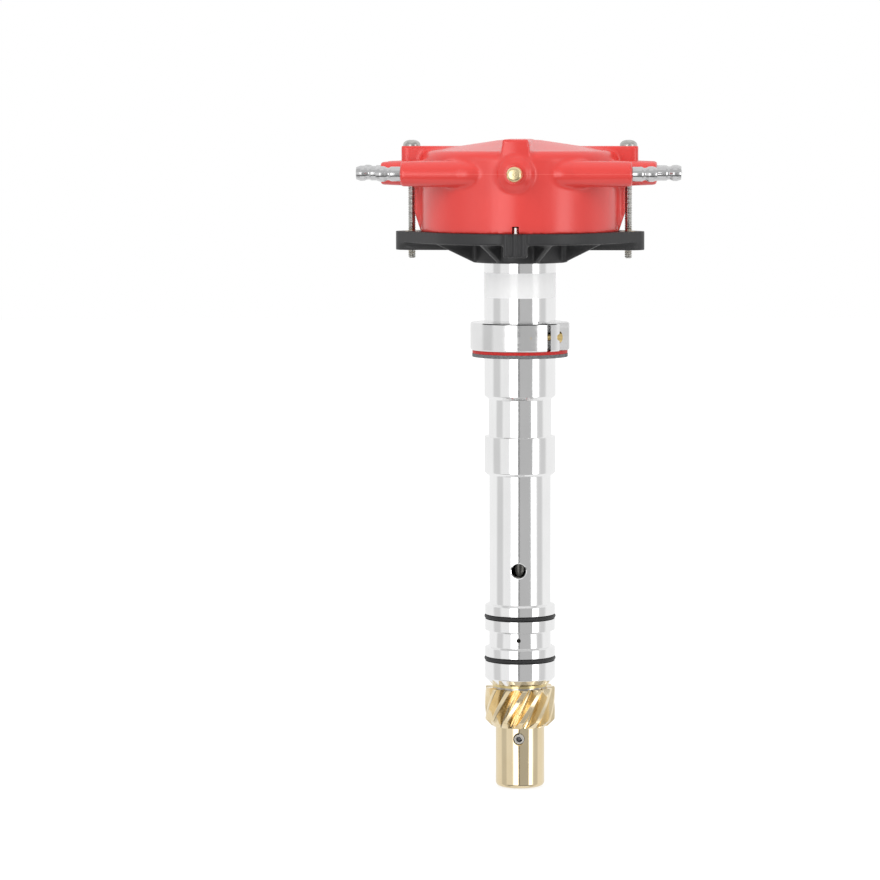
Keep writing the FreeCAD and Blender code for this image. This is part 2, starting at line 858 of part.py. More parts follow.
def make_cap_screw(side):
    """A long screw with a domed head and a cross recess."""
    tip = base_top - ear_thickness - cap_screw_below_base
    x = side * cap_screw_reach
    head_top_height = ear_top + cap_screw_head_height
    shank = rod(cap_screw_radius, tip, ear_top, x)
    dome_radius = (cap_screw_head_radius ** 2 + cap_screw_head_height ** 2) / (2 * cap_screw_head_height)
    dome = Part.makeSphere(dome_radius, Vector(x, 0, head_top_height - dome_radius))
    head = dome.common(rod(cap_screw_head_radius, ear_top, head_top_height, x))
    half = cap_screw_recess_width / 2
    span = cap_screw_recess_span / 2
    low = head_top_height - cap_screw_recess_depth
    screw = shank.fuse(head)
    screw = screw.cut(box(x - span, x + span, -half, half, low, head_top_height))
    return screw.cut(box(x - half, x + half, -span, span, low, head_top_height))


def make_carrier():
    plate_low_face = carrier_top - carrier_plate_thickness
    outline = [
        (shaft_radius, carrier_low),
        (carrier_hub_radius, carrier_low),
        (carrier_hub_radius, plate_low_face),
        (carrier_plate_radius, plate_low_face),
        (carrier_plate_radius, carrier_top),
        (shaft_radius, carrier_top),
    ]
    return turned(outline).cut(rotor_screw_holes())


def rotor_screw_holes():
    holes = []
    for side in (-1, 1):
        holes.append(rod(rotor_screw_radius, carrier_low, rotor_disc_top, 0, side * rotor_screw_reach))
    return about_axis(Part.makeCompound(holes), rotor_angle)


def make_rotor():
    half = rotor_arm_width / 2
    disc = rod(rotor_radius, carrier_top, rotor_disc_top)
    arm = box(-rotor_radius, rotor_arm_length, -half, half, carrier_top, rotor_top)
    arm = arm.common(rod(rotor_arm_length, carrier_top, rotor_top))
    tail_limit = rod(rotor_radius, carrier_top, rotor_top)
    ahead = box(0, rotor_arm_length, -half, half, carrier_top, rotor_top)
    arm = arm.common(tail_limit.fuse(ahead))
    boss = rod(rotor_boss_radius, carrier_top, rotor_top)
    return about_axis(disc.fuse([arm, boss]).removeSplitter(), rotor_angle).cut(rotor_screw_holes())


def make_rotor_screws():
    screws = []
    for side in (-1, 1):
        y = side * rotor_screw_reach
        shank = rod(rotor_screw_radius, carrier_top - carrier_plate_thickness, rotor_disc_top, 0, y)
        head = rod(rotor_screw_head_radius, rotor_disc_top, rotor_disc_top + rotor_screw_head_height, 0, y)
        screws.append(shank.fuse(head))
    return about_axis(Part.makeCompound(screws), rotor_angle)


def make_rotor_tip():
    half = rotor_tip_width / 2
    bar = box(-rotor_tip_tail, tip_reach, -half, half, rotor_top, tip_top)
    return about_axis(bar.common(rod(tip_reach, rotor_top, tip_top)), rotor_angle)


def make_contact():
    return turned([
        (0, tip_top),
        (contact_radius, tip_top),
        (contact_top_radius, contact_top),
        (0, contact_top),
    ])


def make_brush_spring():
    """A coil spring between the brush and the end of its bore."""
    coil_radius = brush_radius - 2 * brush_spring_wire
    low = brush_top + brush_spring_wire
    length = brush_bore_top - brush_spring_wire - low
    helix = Part.makeHelix(length / brush_spring_turns, length, coil_radius)
    section = Part.Wire(Part.makeCircle(brush_spring_wire, Vector(coil_radius, 0, 0), Vector(0, 1, 0)))
    spring = Part.Wire(helix).makePipeShell([section], True, True)
    spring.translate(Vector(0, 0, low))
    return spring


def collar_place(shape):
    """A shape made with the collar's split along +X, turned to where the split is."""
    return about_axis(shape, collar_split_angle)


def clamp_axis_start(distance):
    """A point on the clamp screw's axis, which crosses the split in the middle of the collar's wall."""
    middle = (barrel_radius + slip_gap + collar_radius) / 2
    return Vector(middle, distance, 2 * gasket_thickness + collar_height / 2)


def make_collar():
    inner = barrel_radius + slip_gap
    low = 2 * gasket_thickness
    high = low + collar_height
    outline = [
        (inner, low + collar_edge),
        (inner + collar_edge, low),
        (collar_radius - collar_edge, low),
        (collar_radius, low + collar_edge),
        (collar_radius, high - collar_edge),
        (collar_radius - collar_edge, high),
        (inner + collar_edge, high),
        (inner, high - collar_edge),
    ]
    collar = turned(outline)
    half = collar_split / 2
    collar = collar.cut(box(0, 2 * collar_radius, -half, half, low, high))
    along = Vector(0, 1, 0)
    tail = clamp_screw_seat - clamp_screw_length
    hole = Part.makeCylinder(clamp_screw_radius, clamp_screw_length, clamp_axis_start(tail), along)
    pocket_radius = clamp_screw_head_radius + slip_gap
    pocket = Part.makeCylinder(pocket_radius, collar_radius, clamp_axis_start(clamp_screw_seat), along)
    spot_start = clamp_screw_seat + clamp_spot_depth
    spot_x = clamp_axis_start(0).x - clamp_screw_head_radius
    spot = box(spot_x, 2 * collar_radius, spot_start, 2 * collar_radius, low, high)
    collar = collar.cut(hole).cut(pocket).cut(spot)
    return collar_place(collar)


def make_clamp_screw():
    along = Vector(0, 1, 0)
    tail = clamp_screw_seat - clamp_screw_length
    shank = Part.makeCylinder(clamp_screw_radius, clamp_screw_length, clamp_axis_start(tail), along)
    seat = clamp_axis_start(clamp_screw_seat)
    head = Part.makeCylinder(clamp_screw_head_radius, clamp_screw_head_height, seat, along)
    socket_start = clamp_axis_start(clamp_screw_seat + clamp_screw_head_height / 2)
    socket = Part.makeCylinder(clamp_screw_socket, clamp_screw_head_height, socket_start, along)
    return collar_place(shank.fuse(head).cut(socket))


def make_gasket(radius, level):
    low = level * gasket_thickness
    return ring(barrel_radius + soft_gap, radius, low, low + gasket_thickness)


plug_terminals = [make_plug_terminal(side, x, y, arm_end) for side, x, y, arm_end, _ in terminal_places()]
coil_terminal = make_coil_terminal()

pieces = {
    "housing": make_housing(),
    "head_screws": make_head_screws(),
    "lower_bushing": make_bushing(),
    "upper_o_ring": make_o_ring(upper_ring_top, upper_ring_low),
    "lower_o_ring": make_o_ring(lower_ring_top, lower_ring_low),
    "bearing_outer_race": make_outer_race(),
    "bearing_retaining_ring": make_retaining_ring(),
    "cap_base": make_base(),
    "ear_inserts": make_inserts(),
    "locating_pin": make_locating_pin(),
    "shaft": make_shaft(),
    "bearing_inner_race": make_inner_race(),
    "shaft_snap_ring": make_snap_ring(),
    "rotor_carrier": make_carrier(),
    "rotor": make_rotor(),
    "rotor_screws": make_rotor_screws(),
    "rotor_tip": make_rotor_tip(),
    "rotor_contact": make_contact(),
    "drive_gear": make_gear(),
    "roll_pin": make_roll_pin(),
    "thrust_washer": ring(shaft_radius + running_gap, washer_radius, gear_top, washer_top),
    "bearing_balls": make_balls(),
    "bearing_cage": make_cage(),
    "cap": make_cap(plug_terminals + [coil_terminal]),
    "cap_arms": make_cap_arms(plug_terminals),
    "cap_ears": make_cap_ears(),
    "coil_terminal": coil_terminal,
    "brush_spring": make_brush_spring(),
    "cap_screw_left": make_cap_screw(-1),
    "cap_screw_right": make_cap_screw(1),
    "carbon_brush": rod(brush_radius, brush_low, brush_top),
    "slip_collar": make_collar(),
    "collar_clamp_screw": make_clamp_screw(),
    "grey_gasket": make_gasket(grey_gasket_radius, 0),
    "red_gasket": make_gasket(red_gasket_radius, 1),
}
for number, terminal in enumerate(plug_terminals, start=1):
    pieces["plug_terminal_%d" % number] = terminal

os.makedirs("parts", exist_ok=True)
for name, shape in pieces.items():
    shape.exportStep("parts/%s.step" % name)
    print(name, len(shape.Solids), round(shape.Volume, 1), shape.isValid())
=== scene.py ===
import math

import bmesh
import bpy
import numpy as np
from mathutils import Matrix, Vector


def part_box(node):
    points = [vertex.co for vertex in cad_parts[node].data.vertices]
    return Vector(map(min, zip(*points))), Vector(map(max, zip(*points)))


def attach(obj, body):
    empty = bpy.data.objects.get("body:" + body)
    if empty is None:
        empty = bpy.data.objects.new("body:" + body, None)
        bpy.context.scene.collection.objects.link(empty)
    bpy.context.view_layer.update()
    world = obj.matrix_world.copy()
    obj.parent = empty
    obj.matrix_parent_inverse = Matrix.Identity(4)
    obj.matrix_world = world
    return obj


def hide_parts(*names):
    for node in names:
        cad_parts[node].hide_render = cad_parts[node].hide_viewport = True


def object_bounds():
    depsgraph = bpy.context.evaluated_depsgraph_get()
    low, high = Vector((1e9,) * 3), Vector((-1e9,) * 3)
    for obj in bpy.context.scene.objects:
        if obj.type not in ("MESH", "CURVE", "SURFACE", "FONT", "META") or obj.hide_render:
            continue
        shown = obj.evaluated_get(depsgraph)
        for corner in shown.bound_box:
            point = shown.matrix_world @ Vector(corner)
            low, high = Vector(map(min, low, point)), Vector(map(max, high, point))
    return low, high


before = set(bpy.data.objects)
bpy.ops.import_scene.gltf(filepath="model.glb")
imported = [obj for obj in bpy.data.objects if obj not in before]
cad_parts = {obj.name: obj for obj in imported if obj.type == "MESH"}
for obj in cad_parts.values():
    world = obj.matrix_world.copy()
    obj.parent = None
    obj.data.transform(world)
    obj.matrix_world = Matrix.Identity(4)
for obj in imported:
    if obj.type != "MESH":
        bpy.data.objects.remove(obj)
cad_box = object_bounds()
scene = bpy.context.scene
scene.view_settings.view_transform = "Standard"
MM = 0.001

# Camera and studio
# The distributor stands upright on a white sweep inside a white light tent. The camera looks
# from a long way off, a little above the cap and a little to the right of the coil terminal.
VIEW_AZIMUTH = math.radians(2.6)
VIEW_DISTANCE = 1.71
CAMERA_HEIGHT = 0.111
PICTURE_CENTRE_HEIGHT = -0.0388
PIXEL_SIZE = 0.4622 * MM
PICTURE_WIDTH = 880
AXIS_COLUMN = 520
SENSOR = 36.0

camera = bpy.data.objects.new("camera", bpy.data.cameras.new("camera"))
scene.collection.objects.link(camera)
scene.camera = camera
camera.location = (
    VIEW_DISTANCE * math.sin(VIEW_AZIMUTH),
    -VIEW_DISTANCE * math.cos(VIEW_AZIMUTH),
    CAMERA_HEIGHT,
)
aim = Vector((0.0, 0.0, PICTURE_CENTRE_HEIGHT)) - camera.location
camera.rotation_euler = aim.to_track_quat("-Z", "Y").to_euler()
camera.data.sensor_width = SENSOR
camera.data.lens = SENSOR * aim.length / (PICTURE_WIDTH * PIXEL_SIZE)
camera.data.shift_x = (PICTURE_WIDTH / 2 - AXIS_COLUMN) / PICTURE_WIDTH


def linear(level):
    """A display level from 0 to 255 as linear light."""
    share = level / 255.0
    return share / 12.92 if share <= 0.04045 else ((share + 0.055) / 1.055) ** 2.4


def tint(red, green, blue):
    """A colour as it looks on a display, in linear light with full alpha."""
    return (linear(red), linear(green), linear(blue), 1.0)


def add_node(tree, kind, feeds=(), **settings):
    """Adds a node with its options; feeds are pairs of an input and a node, a socket or a value."""
    node = tree.nodes.new(kind)
    for label, value in settings.items():
        setattr(node, label, value)
    for label, value in feeds:
        value = value.outputs[0] if isinstance(value, bpy.types.Node) else value
        if isinstance(value, bpy.types.NodeSocket):
            tree.links.new(value, node.inputs[label])
        else:
            node.inputs[label].default_value = value
    return node


def reckoned(tree, operation, *values):
    """What a math node makes of its values, which are sockets or numbers."""
    return add_node(tree, "ShaderNodeMath", enumerate(values), operation=operation).outputs[0]


def eased_range(tree, value, start, end, low, high):
    """Goes softly from low to high as the value goes from start to end."""
    feeds = [("Value", value), ("From Min", start), ("From Max", end), ("To Min", low), ("To Max", high)]
    return add_node(tree, "ShaderNodeMapRange", feeds, interpolation_type="SMOOTHSTEP").outputs["Result"]


world = bpy.data.worlds.new("light_tent")
world.use_nodes = True
scene.world = world
tent_tree = world.node_tree
direction = add_node(tent_tree, "ShaderNodeTexCoord")
parts = add_node(tent_tree, "ShaderNodeSeparateXYZ", [(0, direction.outputs["Generated"])])
towards_front = reckoned(tent_tree, "MULTIPLY", parts.outputs["Y"], -1.0)
world_azimuth = reckoned(tent_tree, "ARCTAN2", parts.outputs["X"], towards_front)
azimuth = reckoned(tent_tree, "DEGREES", reckoned(tent_tree, "SUBTRACT", world_azimuth, VIEW_AZIMUTH))
elevation = reckoned(tent_tree, "DEGREES", reckoned(tent_tree, "ARCSINE", parts.outputs["Z"]))


def between(angle, start, end, softness):
    """1 from one angle to another, in degrees, and 0 beyond them, with soft edges."""
    half = softness / 2
    rise = eased_range(tent_tree, angle, start - half, start + half, 0.0, 1.0)
    fall = eased_range(tent_tree, angle, end - half, end + half, 1.0, 0.0)
    return reckoned(tent_tree, "MULTIPLY", rise, fall)


def hang(tent, brightness, left, right, low=-95.0, high=95.0, softness=3.0):
    """Hangs a panel in the tent, between angles as the distributor sees them from its middle."""
    around = between(azimuth, left, right, softness)
    cover = reckoned(tent_tree, "MULTIPLY", around, between(elevation, low, high, 4.0))
    change = reckoned(tent_tree, "SUBTRACT", brightness, tent)
    return reckoned(tent_tree, "MULTIPLY_ADD", cover, change, tent)


# The tent's cloth with its dimmer sides, two lit strips, the grey gap that the camera looks in
# through, the cloth above the strips, the dark edge of the table, and the camera's own body.
CLOTH = 0.92
LEFT_CLOTH = 0.88
DIMMER_CLOTH = 0.66
tent = hang(CLOTH, DIMMER_CLOTH, -96.0, -66.0, softness=12.0)
tent = hang(tent, LEFT_CLOTH, -62.0, -29.0, softness=14.0)
tent = hang(tent, DIMMER_CLOTH, 66.0, 92.0, softness=14.0)
LIT_STRIP = 2.6
for left, right in ((-32.0, -7.0), (42.0, 61.0)):
    tent = hang(tent, LIT_STRIP, left, right, -19.0, 16.0, softness=9.0)
GREY_GAP = 0.5
TABLE_EDGE = 0.2
CAMERA_BODY = 0.25
tent = hang(tent, GREY_GAP, -7.5, 42.0, -46.0, 46.0)
tent = hang(tent, DIMMER_CLOTH, -66.0, 66.0, 17.0, 55.0)
tent = hang(tent, TABLE_EDGE, -66.0, 66.0, -44.0, -21.0)
tent = hang(tent, CAMERA_BODY, -6.0, -1.0, -30.0, 6.0)
DIFFUSE_LEVEL = 0.55
ray = add_node(tent_tree, "ShaderNodeLightPath")
extra = reckoned(tent_tree, "SUBTRACT", tent, DIFFUSE_LEVEL)
reflected = reckoned(tent_tree, "MULTIPLY_ADD", ray.outputs["Is Glossy Ray"], extra, DIFFUSE_LEVEL)
missing = reckoned(tent_tree, "SUBTRACT", 1.0, reflected)
backdrop = reckoned(tent_tree, "MULTIPLY_ADD", ray.outputs["Is Camera Ray"], missing, reflected)
background = tent_tree.nodes["Background"]
background.inputs["Color"].default_value = (1.0, 1.0, 1.0, 1.0)
tent_tree.links.new(backdrop, background.inputs["Strength"])


def softbox(name, size, power, place):
    """A square soft light that shines at the middle and doesn't show in mirrors."""
    lamp = bpy.data.lights.new(name, "AREA")
    lamp.size = size
    lamp.energy = power
    holder = bpy.data.objects.new(name, lamp)
    scene.collection.objects.link(holder)
    holder.location = place
    holder.rotation_euler = (-Vector(place)).to_track_quat("-Z", "Y").to_euler()
    holder.visible_glossy = False


softbox("softbox_left", 0.9, 7.6, (-0.75, -0.95, 0.55))
softbox("softbox_right", 0.8, 5.5, (1.0, -0.75, 0.4))
softbox("softbox_top", 1.0, 4.3, (0.0, 0.15, 1.2))


def plain_form(name, create, **sizes):
    """A mesh of one plain form, such as a ball or a box, about the origin."""
    mesh = bpy.data.meshes.new(name)
    shell = bmesh.new()
    create(shell, **sizes)
    shell.to_mesh(mesh)
    shell.free()
    return mesh


# The sweep looks white to the camera, with a soft shade painted round the part besides its real shadow,
# but lights the part less.
FLOOR_GAP = 0.0006
FLOOR_RADIUS = 4.0
FLOOR_GREY = 0.34
FLOOR_GLOW = 0.36
SHADE_LEVEL = 0.78
SHADE_START = 0.3
SHADE_END = 0.8
floor_mesh = plain_form("floor", bmesh.ops.create_circle, cap_ends=True, segments=96, radius=FLOOR_RADIUS)
floor_mesh.transform(Matrix.Translation((0.0, 0.0, cad_box[0].z - FLOOR_GAP)))
floor = bpy.data.objects.new("floor", floor_mesh)
scene.collection.objects.link(floor)
floor.visible_glossy = False
floor_material = bpy.data.materials.new("white_sweep")
floor_material.use_nodes = True
tree = floor_material.node_tree
tree.nodes.remove(tree.nodes["Principled BSDF"])
matt = add_node(tree, "ShaderNodeBsdfDiffuse", [("Color", (FLOOR_GREY, FLOOR_GREY, FLOOR_GREY, 1.0))])
place = add_node(tree, "ShaderNodeTexCoord")
distance = add_node(tree, "ShaderNodeVectorMath", [(0, place.outputs["Object"])], operation="LENGTH")
# Near the part the sweep's glow to the camera is dimmed: painted shade.
brightness = eased_range(tree, distance.outputs["Value"], SHADE_START, SHADE_END, SHADE_LEVEL, 1.0)
seen = add_node(tree, "ShaderNodeEmission", [("Strength", brightness)])
unseen = add_node(tree, "ShaderNodeEmission", [("Strength", FLOOR_GLOW)])
ray = add_node(tree, "ShaderNodeLightPath")
own_light = add_node(tree, "ShaderNodeMixShader", [
    (0, ray.outputs["Is Camera Ray"]), (1, unseen), (2, seen)])
both = add_node(tree, "ShaderNodeAddShader", [(0, matt), (1, own_light)])
tree.links.new(both.outputs[0], tree.nodes["Material Output"].inputs["Surface"])
floor_mesh.materials.append(floor_material)

# Housing
# One bar of aluminium, turned all over and polished: a long barrel, a neck, a stop band and a
# journal with two O-ring grooves and an oil groove. Its corners are broken by the lathe tool.
BARREL_RADIUS = 16.5
housing_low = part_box("housing")[0].z / MM


def shader_group(name, inputs, outputs):
    """A node group for materials; inputs are (name, value) pairs and outputs are names."""
    group = bpy.data.node_groups.new(name, "ShaderNodeTree")
    for label, value in inputs:
        socket = group.interface.new_socket(label, in_out="INPUT", socket_type="NodeSocketFloat")
        socket.default_value = value
    for label in outputs:
        group.interface.new_socket(label, in_out="OUTPUT", socket_type="NodeSocketFloat")
    return group, group.nodes.new("NodeGroupInput"), group.nodes.new("NodeGroupOutput")


def stretched_noise(tree, scale, detail):
    """A noise of the object's own coordinates; scale is per metre along X, Y and Z."""
    place = add_node(tree, "ShaderNodeTexCoord")
    mapping = add_node(tree, "ShaderNodeMapping", [("Vector", place.outputs["Object"]), ("Scale", scale)])
    noise = add_node(tree, "ShaderNodeTexNoise", [
        ("Vector", mapping.outputs["Vector"]), ("Scale", 1.0), ("Detail", detail)])
    return noise.outputs["Fac"]


def remapped(tree, noise, low, high):
    """A noise's middle values, spread from low to high, which are sockets or numbers."""
    return eased_range(tree, noise, 0.3, 0.7, low, high)


def turning_group(axis):
    """The marks of a lathe tool, as rings about one of the object's axes."""
    group, source, sink = shader_group(
        "turning_marks_" + axis, [("Smoothest", 0.1), ("Roughest", 0.2)], ["Height", "Roughness", "Shade"])
    fine, broad = ([along if name == axis else across for name in "XYZ"]
                   for along, across in ((2400.0, 60.0), (620.0, 14.0)))
    fine_rings = stretched_noise(group, fine, 2.0)
    broad_rings = stretched_noise(group, broad, 3.0)
    handled = stretched_noise(group, (95.0, 95.0, 60.0), 4.0)
    polish = remapped(group, broad_rings, source.outputs["Smoothest"], source.outputs["Roughest"])
    for label, value in (("Height", fine_rings), ("Roughness", polish), ("Shade", handled)):
        group.links.new(value, sink.inputs[label])
    return group


turning_marks = {axis: turning_group(axis) for axis in "XYZ"}


def new_material(name, colour, metallic, roughness):
    """A material with the shader's plain values set; returns it, its tree and its shader."""
    material = bpy.data.materials.new(name)
    material.use_nodes = True
    shader = material.node_tree.nodes["Principled BSDF"]
    shader.inputs["Base Color"].default_value = colour
    shader.inputs["Metallic"].default_value = metallic
    shader.inputs["Roughness"].default_value = roughness
    return material, material.node_tree, shader


def two_toned(tree, shader, share, low_colour, high_colour):
    """Blends a material's base colour from two, by a share that changes over its surface."""
    mix = add_node(tree, "ShaderNodeMix", [("Factor", share), ("A", low_colour), ("B", high_colour)],
                   data_type="RGBA")
    tree.links.new(mix.outputs["Result"], shader.inputs["Base Color"])


def bump(tree, shader, height, strength, distance):
    """Feeds a height to the shader's normal; the distance is in millimetres."""
    node = add_node(tree, "ShaderNodeBump", [
        ("Strength", strength), ("Distance", distance * MM), ("Height", height)])
    tree.links.new(node.outputs["Normal"], shader.inputs["Normal"])


def turned_metal(name, low_colour, high_colour, smoothest, roughest, mark_depth, axis="Z"):
    """A metal off the lathe: fine rings round the axis, and a shade that wanders a little."""
    material, tree, shader = new_material(name, high_colour, 1.0, roughest)
    marks = add_node(tree, "ShaderNodeGroup", [("Smoothest", smoothest), ("Roughest", roughest)],
                     node_tree=turning_marks[axis])
    tree.links.new(marks.outputs["Roughness"], shader.inputs["Roughness"])
    two_toned(tree, shader, marks.outputs["Shade"], low_colour, high_colour)
    bump(tree, shader, marks.outputs["Height"], 0.35, mark_depth)
    return material


polished_aluminium = turned_metal(
    "polished_aluminium", tint(239, 239, 239), tint(250, 250, 250), 0.07, 0.11, 0.002)


def eased(outline, size, steps=3):
    """The closed outline with each corner rounded off, from size before it to size after it."""
    points = []
    for index, corner in enumerate(outline):
        corner = Vector(corner)
        back = Vector(outline[index - 1]) - corner
        ahead = Vector(outline[(index + 1) % len(outline)]) - corner
        reach = min(size, back.length * 0.45, ahead.length * 0.45)
        start = corner + back.normalized() * reach
        end = corner + ahead.normalized() * reach
        for step in range(steps + 1):
            share = step / steps
            points.append(start * (1 - share) ** 2 + corner * 2 * share * (1 - share) + end * share ** 2)
    return points


def tidy_mesh(mesh, smooth_angle=40.0):
    """Merges what touches, turns all faces outwards and shades the mesh smooth up to an angle."""
    shell = bmesh.new()
    shell.from_mesh(mesh)
    bmesh.ops.remove_doubles(shell, verts=shell.verts, dist=1e-6)
    bmesh.ops.dissolve_degenerate(shell, edges=shell.edges, dist=1e-7)
    bmesh.ops.recalc_face_normals(shell, faces=shell.faces)
    shell.to_mesh(mesh)
    shell.free()
    mesh.polygons.foreach_set("use_smooth", [True] * len(mesh.polygons))
    mesh.set_sharp_from_angle(angle=math.radians(smooth_angle))
    return mesh


def turned_mesh(name, outline, steps=160):
    """A closed mesh turned about Z from a closed (radius, height) outline in millimetres."""
    vertices = []
    faces = []
    count = len(outline)
    for step in range(steps):
        angle = 2 * math.pi * step / steps
        across, along = math.cos(angle) * MM, math.sin(angle) * MM
        vertices += [(radius * across, radius * along, height * MM) for radius, height in outline]
        here, there = step * count, (step + 1) % steps * count
        for index in range(count):
            after = (index + 1) % count
            faces.append((here + index, there + index, there + after, here + after))
    mesh = bpy.data.meshes.new(name)
    mesh.from_pydata(vertices, [], faces)
    return tidy_mesh(mesh)


def ring_outline(inside, outside, low, high):
    """The outline of a plain ring."""
    return [(inside, low), (outside, low), (outside, high), (inside, high)]


def plain_copy(holder):
    """What an object's modifiers make of it, as a plain mesh; the object is then removed."""
    scene.collection.objects.link(holder)
    bpy.context.view_layer.update()
    evaluated = holder.evaluated_get(bpy.context.evaluated_depsgraph_get())
    mesh = bpy.data.meshes.new_from_object(evaluated)
    bpy.data.objects.remove(holder)
    return mesh


def rod_mesh(radius, length, start, direction, end_radius=None, steps=64):
    """A closed bar or cone from start along direction, in millimetres."""
    end_radius = radius if end_radius is None else end_radius
    mesh = plain_form("rod", bmesh.ops.create_cone, cap_ends=True, segments=steps, radius1=radius * MM,
                      radius2=end_radius * MM, depth=length * MM)
    direction = Vector(direction).normalized()
    middle = (Vector(start) + direction * length / 2) * MM
    turn = Vector(UPWARDS).rotation_difference(direction).to_matrix().to_4x4()
    mesh.transform(Matrix.Translation(middle) @ turn)
    return mesh


def cut_away(mesh, tools, smooth_angle=40.0):
    """The mesh with each tool mesh cut out of it."""
    for tool in tools:
        holder = bpy.data.objects.new("blank", mesh)
        cutter = bpy.data.objects.new("cutter", tool)
        scene.collection.objects.link(cutter)
        step = holder.modifiers.new("cut", "BOOLEAN")
        step.operation = "DIFFERENCE"
        step.solver = "EXACT"
        step.object = cutter
        mesh = plain_copy(holder)
        bpy.data.objects.remove(cutter)
    return tidy_mesh(mesh, smooth_angle)


def place_piece(name, mesh, material, body, slot, *nodes):
    """Puts a finished mesh in place, with its material and its body, and hides the CAD nodes that it
    stands for.
    """
    mesh.name = name
    mesh.materials.clear()
    mesh.materials.append(material)
    piece = bpy.data.objects.new(name, mesh)
    scene.collection.objects.link(piece)
    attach(piece, body)
    if nodes:
        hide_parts(*nodes)


FRONT = (0.0, -1.0, 0.0)
UPWARDS = (0.0, 0.0, 1.0)
HEAD_RADIUS = 24.0
FLOOR_TOP = 55.0
HEAD_TOP = 59.0
BEARING_RADIUS = 14.2875
BEARING_LOW = 49.06
RING_GROOVE_RADIUS = 15.39
RING_GROOVE_LOW = 57.0
RING_GROOVE_TOP = 58.2
SHAFT_BORE = 8.5
BUSHING_BORE = 9.5
BUSHING_TOP = housing_low + 44.0
BARREL_END = -18.0
NECK_RADIUS = 14.55
NECK_TOP = BARREL_END - 1.6
BAND_TOP = NECK_TOP - 17.2
BAND_RADIUS = 16.45
BAND_LOW = BAND_TOP - 17.8
BAND_CHAMFER = 1.2
LOWER_RADIUS = 14.25
JOURNAL_TOP = BAND_LOW - 59.8
JOURNAL_CHAMFER = 0.7
JOURNAL_RADIUS = 16.25
O_RING_SEAT = 14.69
O_RING_GROOVE = 2.2
UPPER_RING_TOP = JOURNAL_TOP - 5.0
UPPER_RING_LOW = UPPER_RING_TOP - O_RING_GROOVE
OIL_GROOVE_RADIUS = 14.3
OIL_GROOVE_TOP = UPPER_RING_LOW - 5.2
OIL_GROOVE_LOW = OIL_GROOVE_TOP - 8.1
OIL_GROOVE_SLOPE = 0.5
LOWER_RING_TOP = OIL_GROOVE_LOW - 4.1
LOWER_RING_LOW = LOWER_RING_TOP - O_RING_GROOVE
NOSE_TOP = LOWER_RING_LOW - 7.8
NOSE_RADIUS = 13.4


def groove(top, low, seat, slope=0.0):
    """The outline of a groove round the journal, from its top down."""
    return [(JOURNAL_RADIUS, top), (seat, top - slope), (seat, low + slope), (JOURNAL_RADIUS, low)]


housing_outline = [
    (HEAD_RADIUS, HEAD_TOP),
    (HEAD_RADIUS, FLOOR_TOP),
    (BARREL_RADIUS, FLOOR_TOP),
    (BARREL_RADIUS, BARREL_END),
    (NECK_RADIUS, NECK_TOP),
    (NECK_RADIUS, BAND_TOP),
    (BAND_RADIUS, BAND_TOP),
    (BAND_RADIUS, BAND_LOW + BAND_CHAMFER),
    (BAND_RADIUS - BAND_CHAMFER, BAND_LOW),
    (LOWER_RADIUS, BAND_LOW),
    (LOWER_RADIUS, JOURNAL_TOP),
    (JOURNAL_RADIUS, JOURNAL_TOP - JOURNAL_CHAMFER),
    *groove(UPPER_RING_TOP, UPPER_RING_LOW, O_RING_SEAT),
    *groove(OIL_GROOVE_TOP, OIL_GROOVE_LOW, OIL_GROOVE_RADIUS, OIL_GROOVE_SLOPE),
    *groove(LOWER_RING_TOP, LOWER_RING_LOW, O_RING_SEAT),
    (JOURNAL_RADIUS, NOSE_TOP),
    (NOSE_RADIUS, housing_low),
    (BUSHING_BORE, housing_low),
    (BUSHING_BORE, BUSHING_TOP),
    (SHAFT_BORE, BUSHING_TOP),
    (SHAFT_BORE, BEARING_LOW),
    (BEARING_RADIUS, BEARING_LOW),
    (BEARING_RADIUS, RING_GROOVE_LOW),
    (RING_GROOVE_RADIUS, RING_GROOVE_LOW),
    (RING_GROOVE_RADIUS, RING_GROOVE_TOP),
    (BEARING_RADIUS, RING_GROOVE_TOP),
    (BEARING_RADIUS, HEAD_TOP),
]
HOLE_RADIUS = 3.4
HOLE_HEIGHT = BAND_LOW - 43.6
RIM_WIDTH = 0.4
RIM_DEPTH = 0.32
RIM_CLEARANCE = 2.0
OIL_HOLE_RADIUS = 1.0
OIL_HOLE_HEIGHT = (OIL_GROOVE_TOP + OIL_GROOVE_LOW) / 2 + 0.4
DRILL_LENGTH = 30.0
HEAD_SCREW_CIRCLE = 19.3
HEAD_SCREW_HOLE = 1.6


def rim_cutter(steps=96):
    """A tool that breaks the inspection hole's edge evenly, as it follows the round barrel."""
    lifts = (-RIM_CLEARANCE, -RIM_DEPTH, RIM_DEPTH, RIM_CLEARANCE)
    widths = (0.0, 0.0, 2 * RIM_WIDTH, 2 * RIM_WIDTH)
    vertices, faces = [], []
    for lift, width in zip(lifts, widths):
        for step in range(steps):
            angle = 2 * math.pi * step / steps
            x, z = ((HOLE_RADIUS + width) * part for part in (math.cos(angle), math.sin(angle)))
            surface = -math.sqrt(LOWER_RADIUS ** 2 - x * x)
            vertices.append(Vector((x, surface - lift, HOLE_HEIGHT + z)) * MM)
    for ring in range(len(lifts) - 1):
        for step in range(steps):
            here, there = ring * steps + step, ring * steps + (step + 1) % steps
            faces.append((here, there, there + steps, here + steps))
    for ring in (0, len(lifts) - 1):
        middle = len(vertices)
        vertices.append(Vector((0.0, -LOWER_RADIUS - lifts[ring], HOLE_HEIGHT)) * MM)
        for step in range(steps):
            faces.append((middle, ring * steps + step, ring * steps + (step + 1) % steps))
    mesh = bpy.data.meshes.new("rim_cutter")
    mesh.from_pydata(vertices, [], faces)
    return tidy_mesh(mesh)


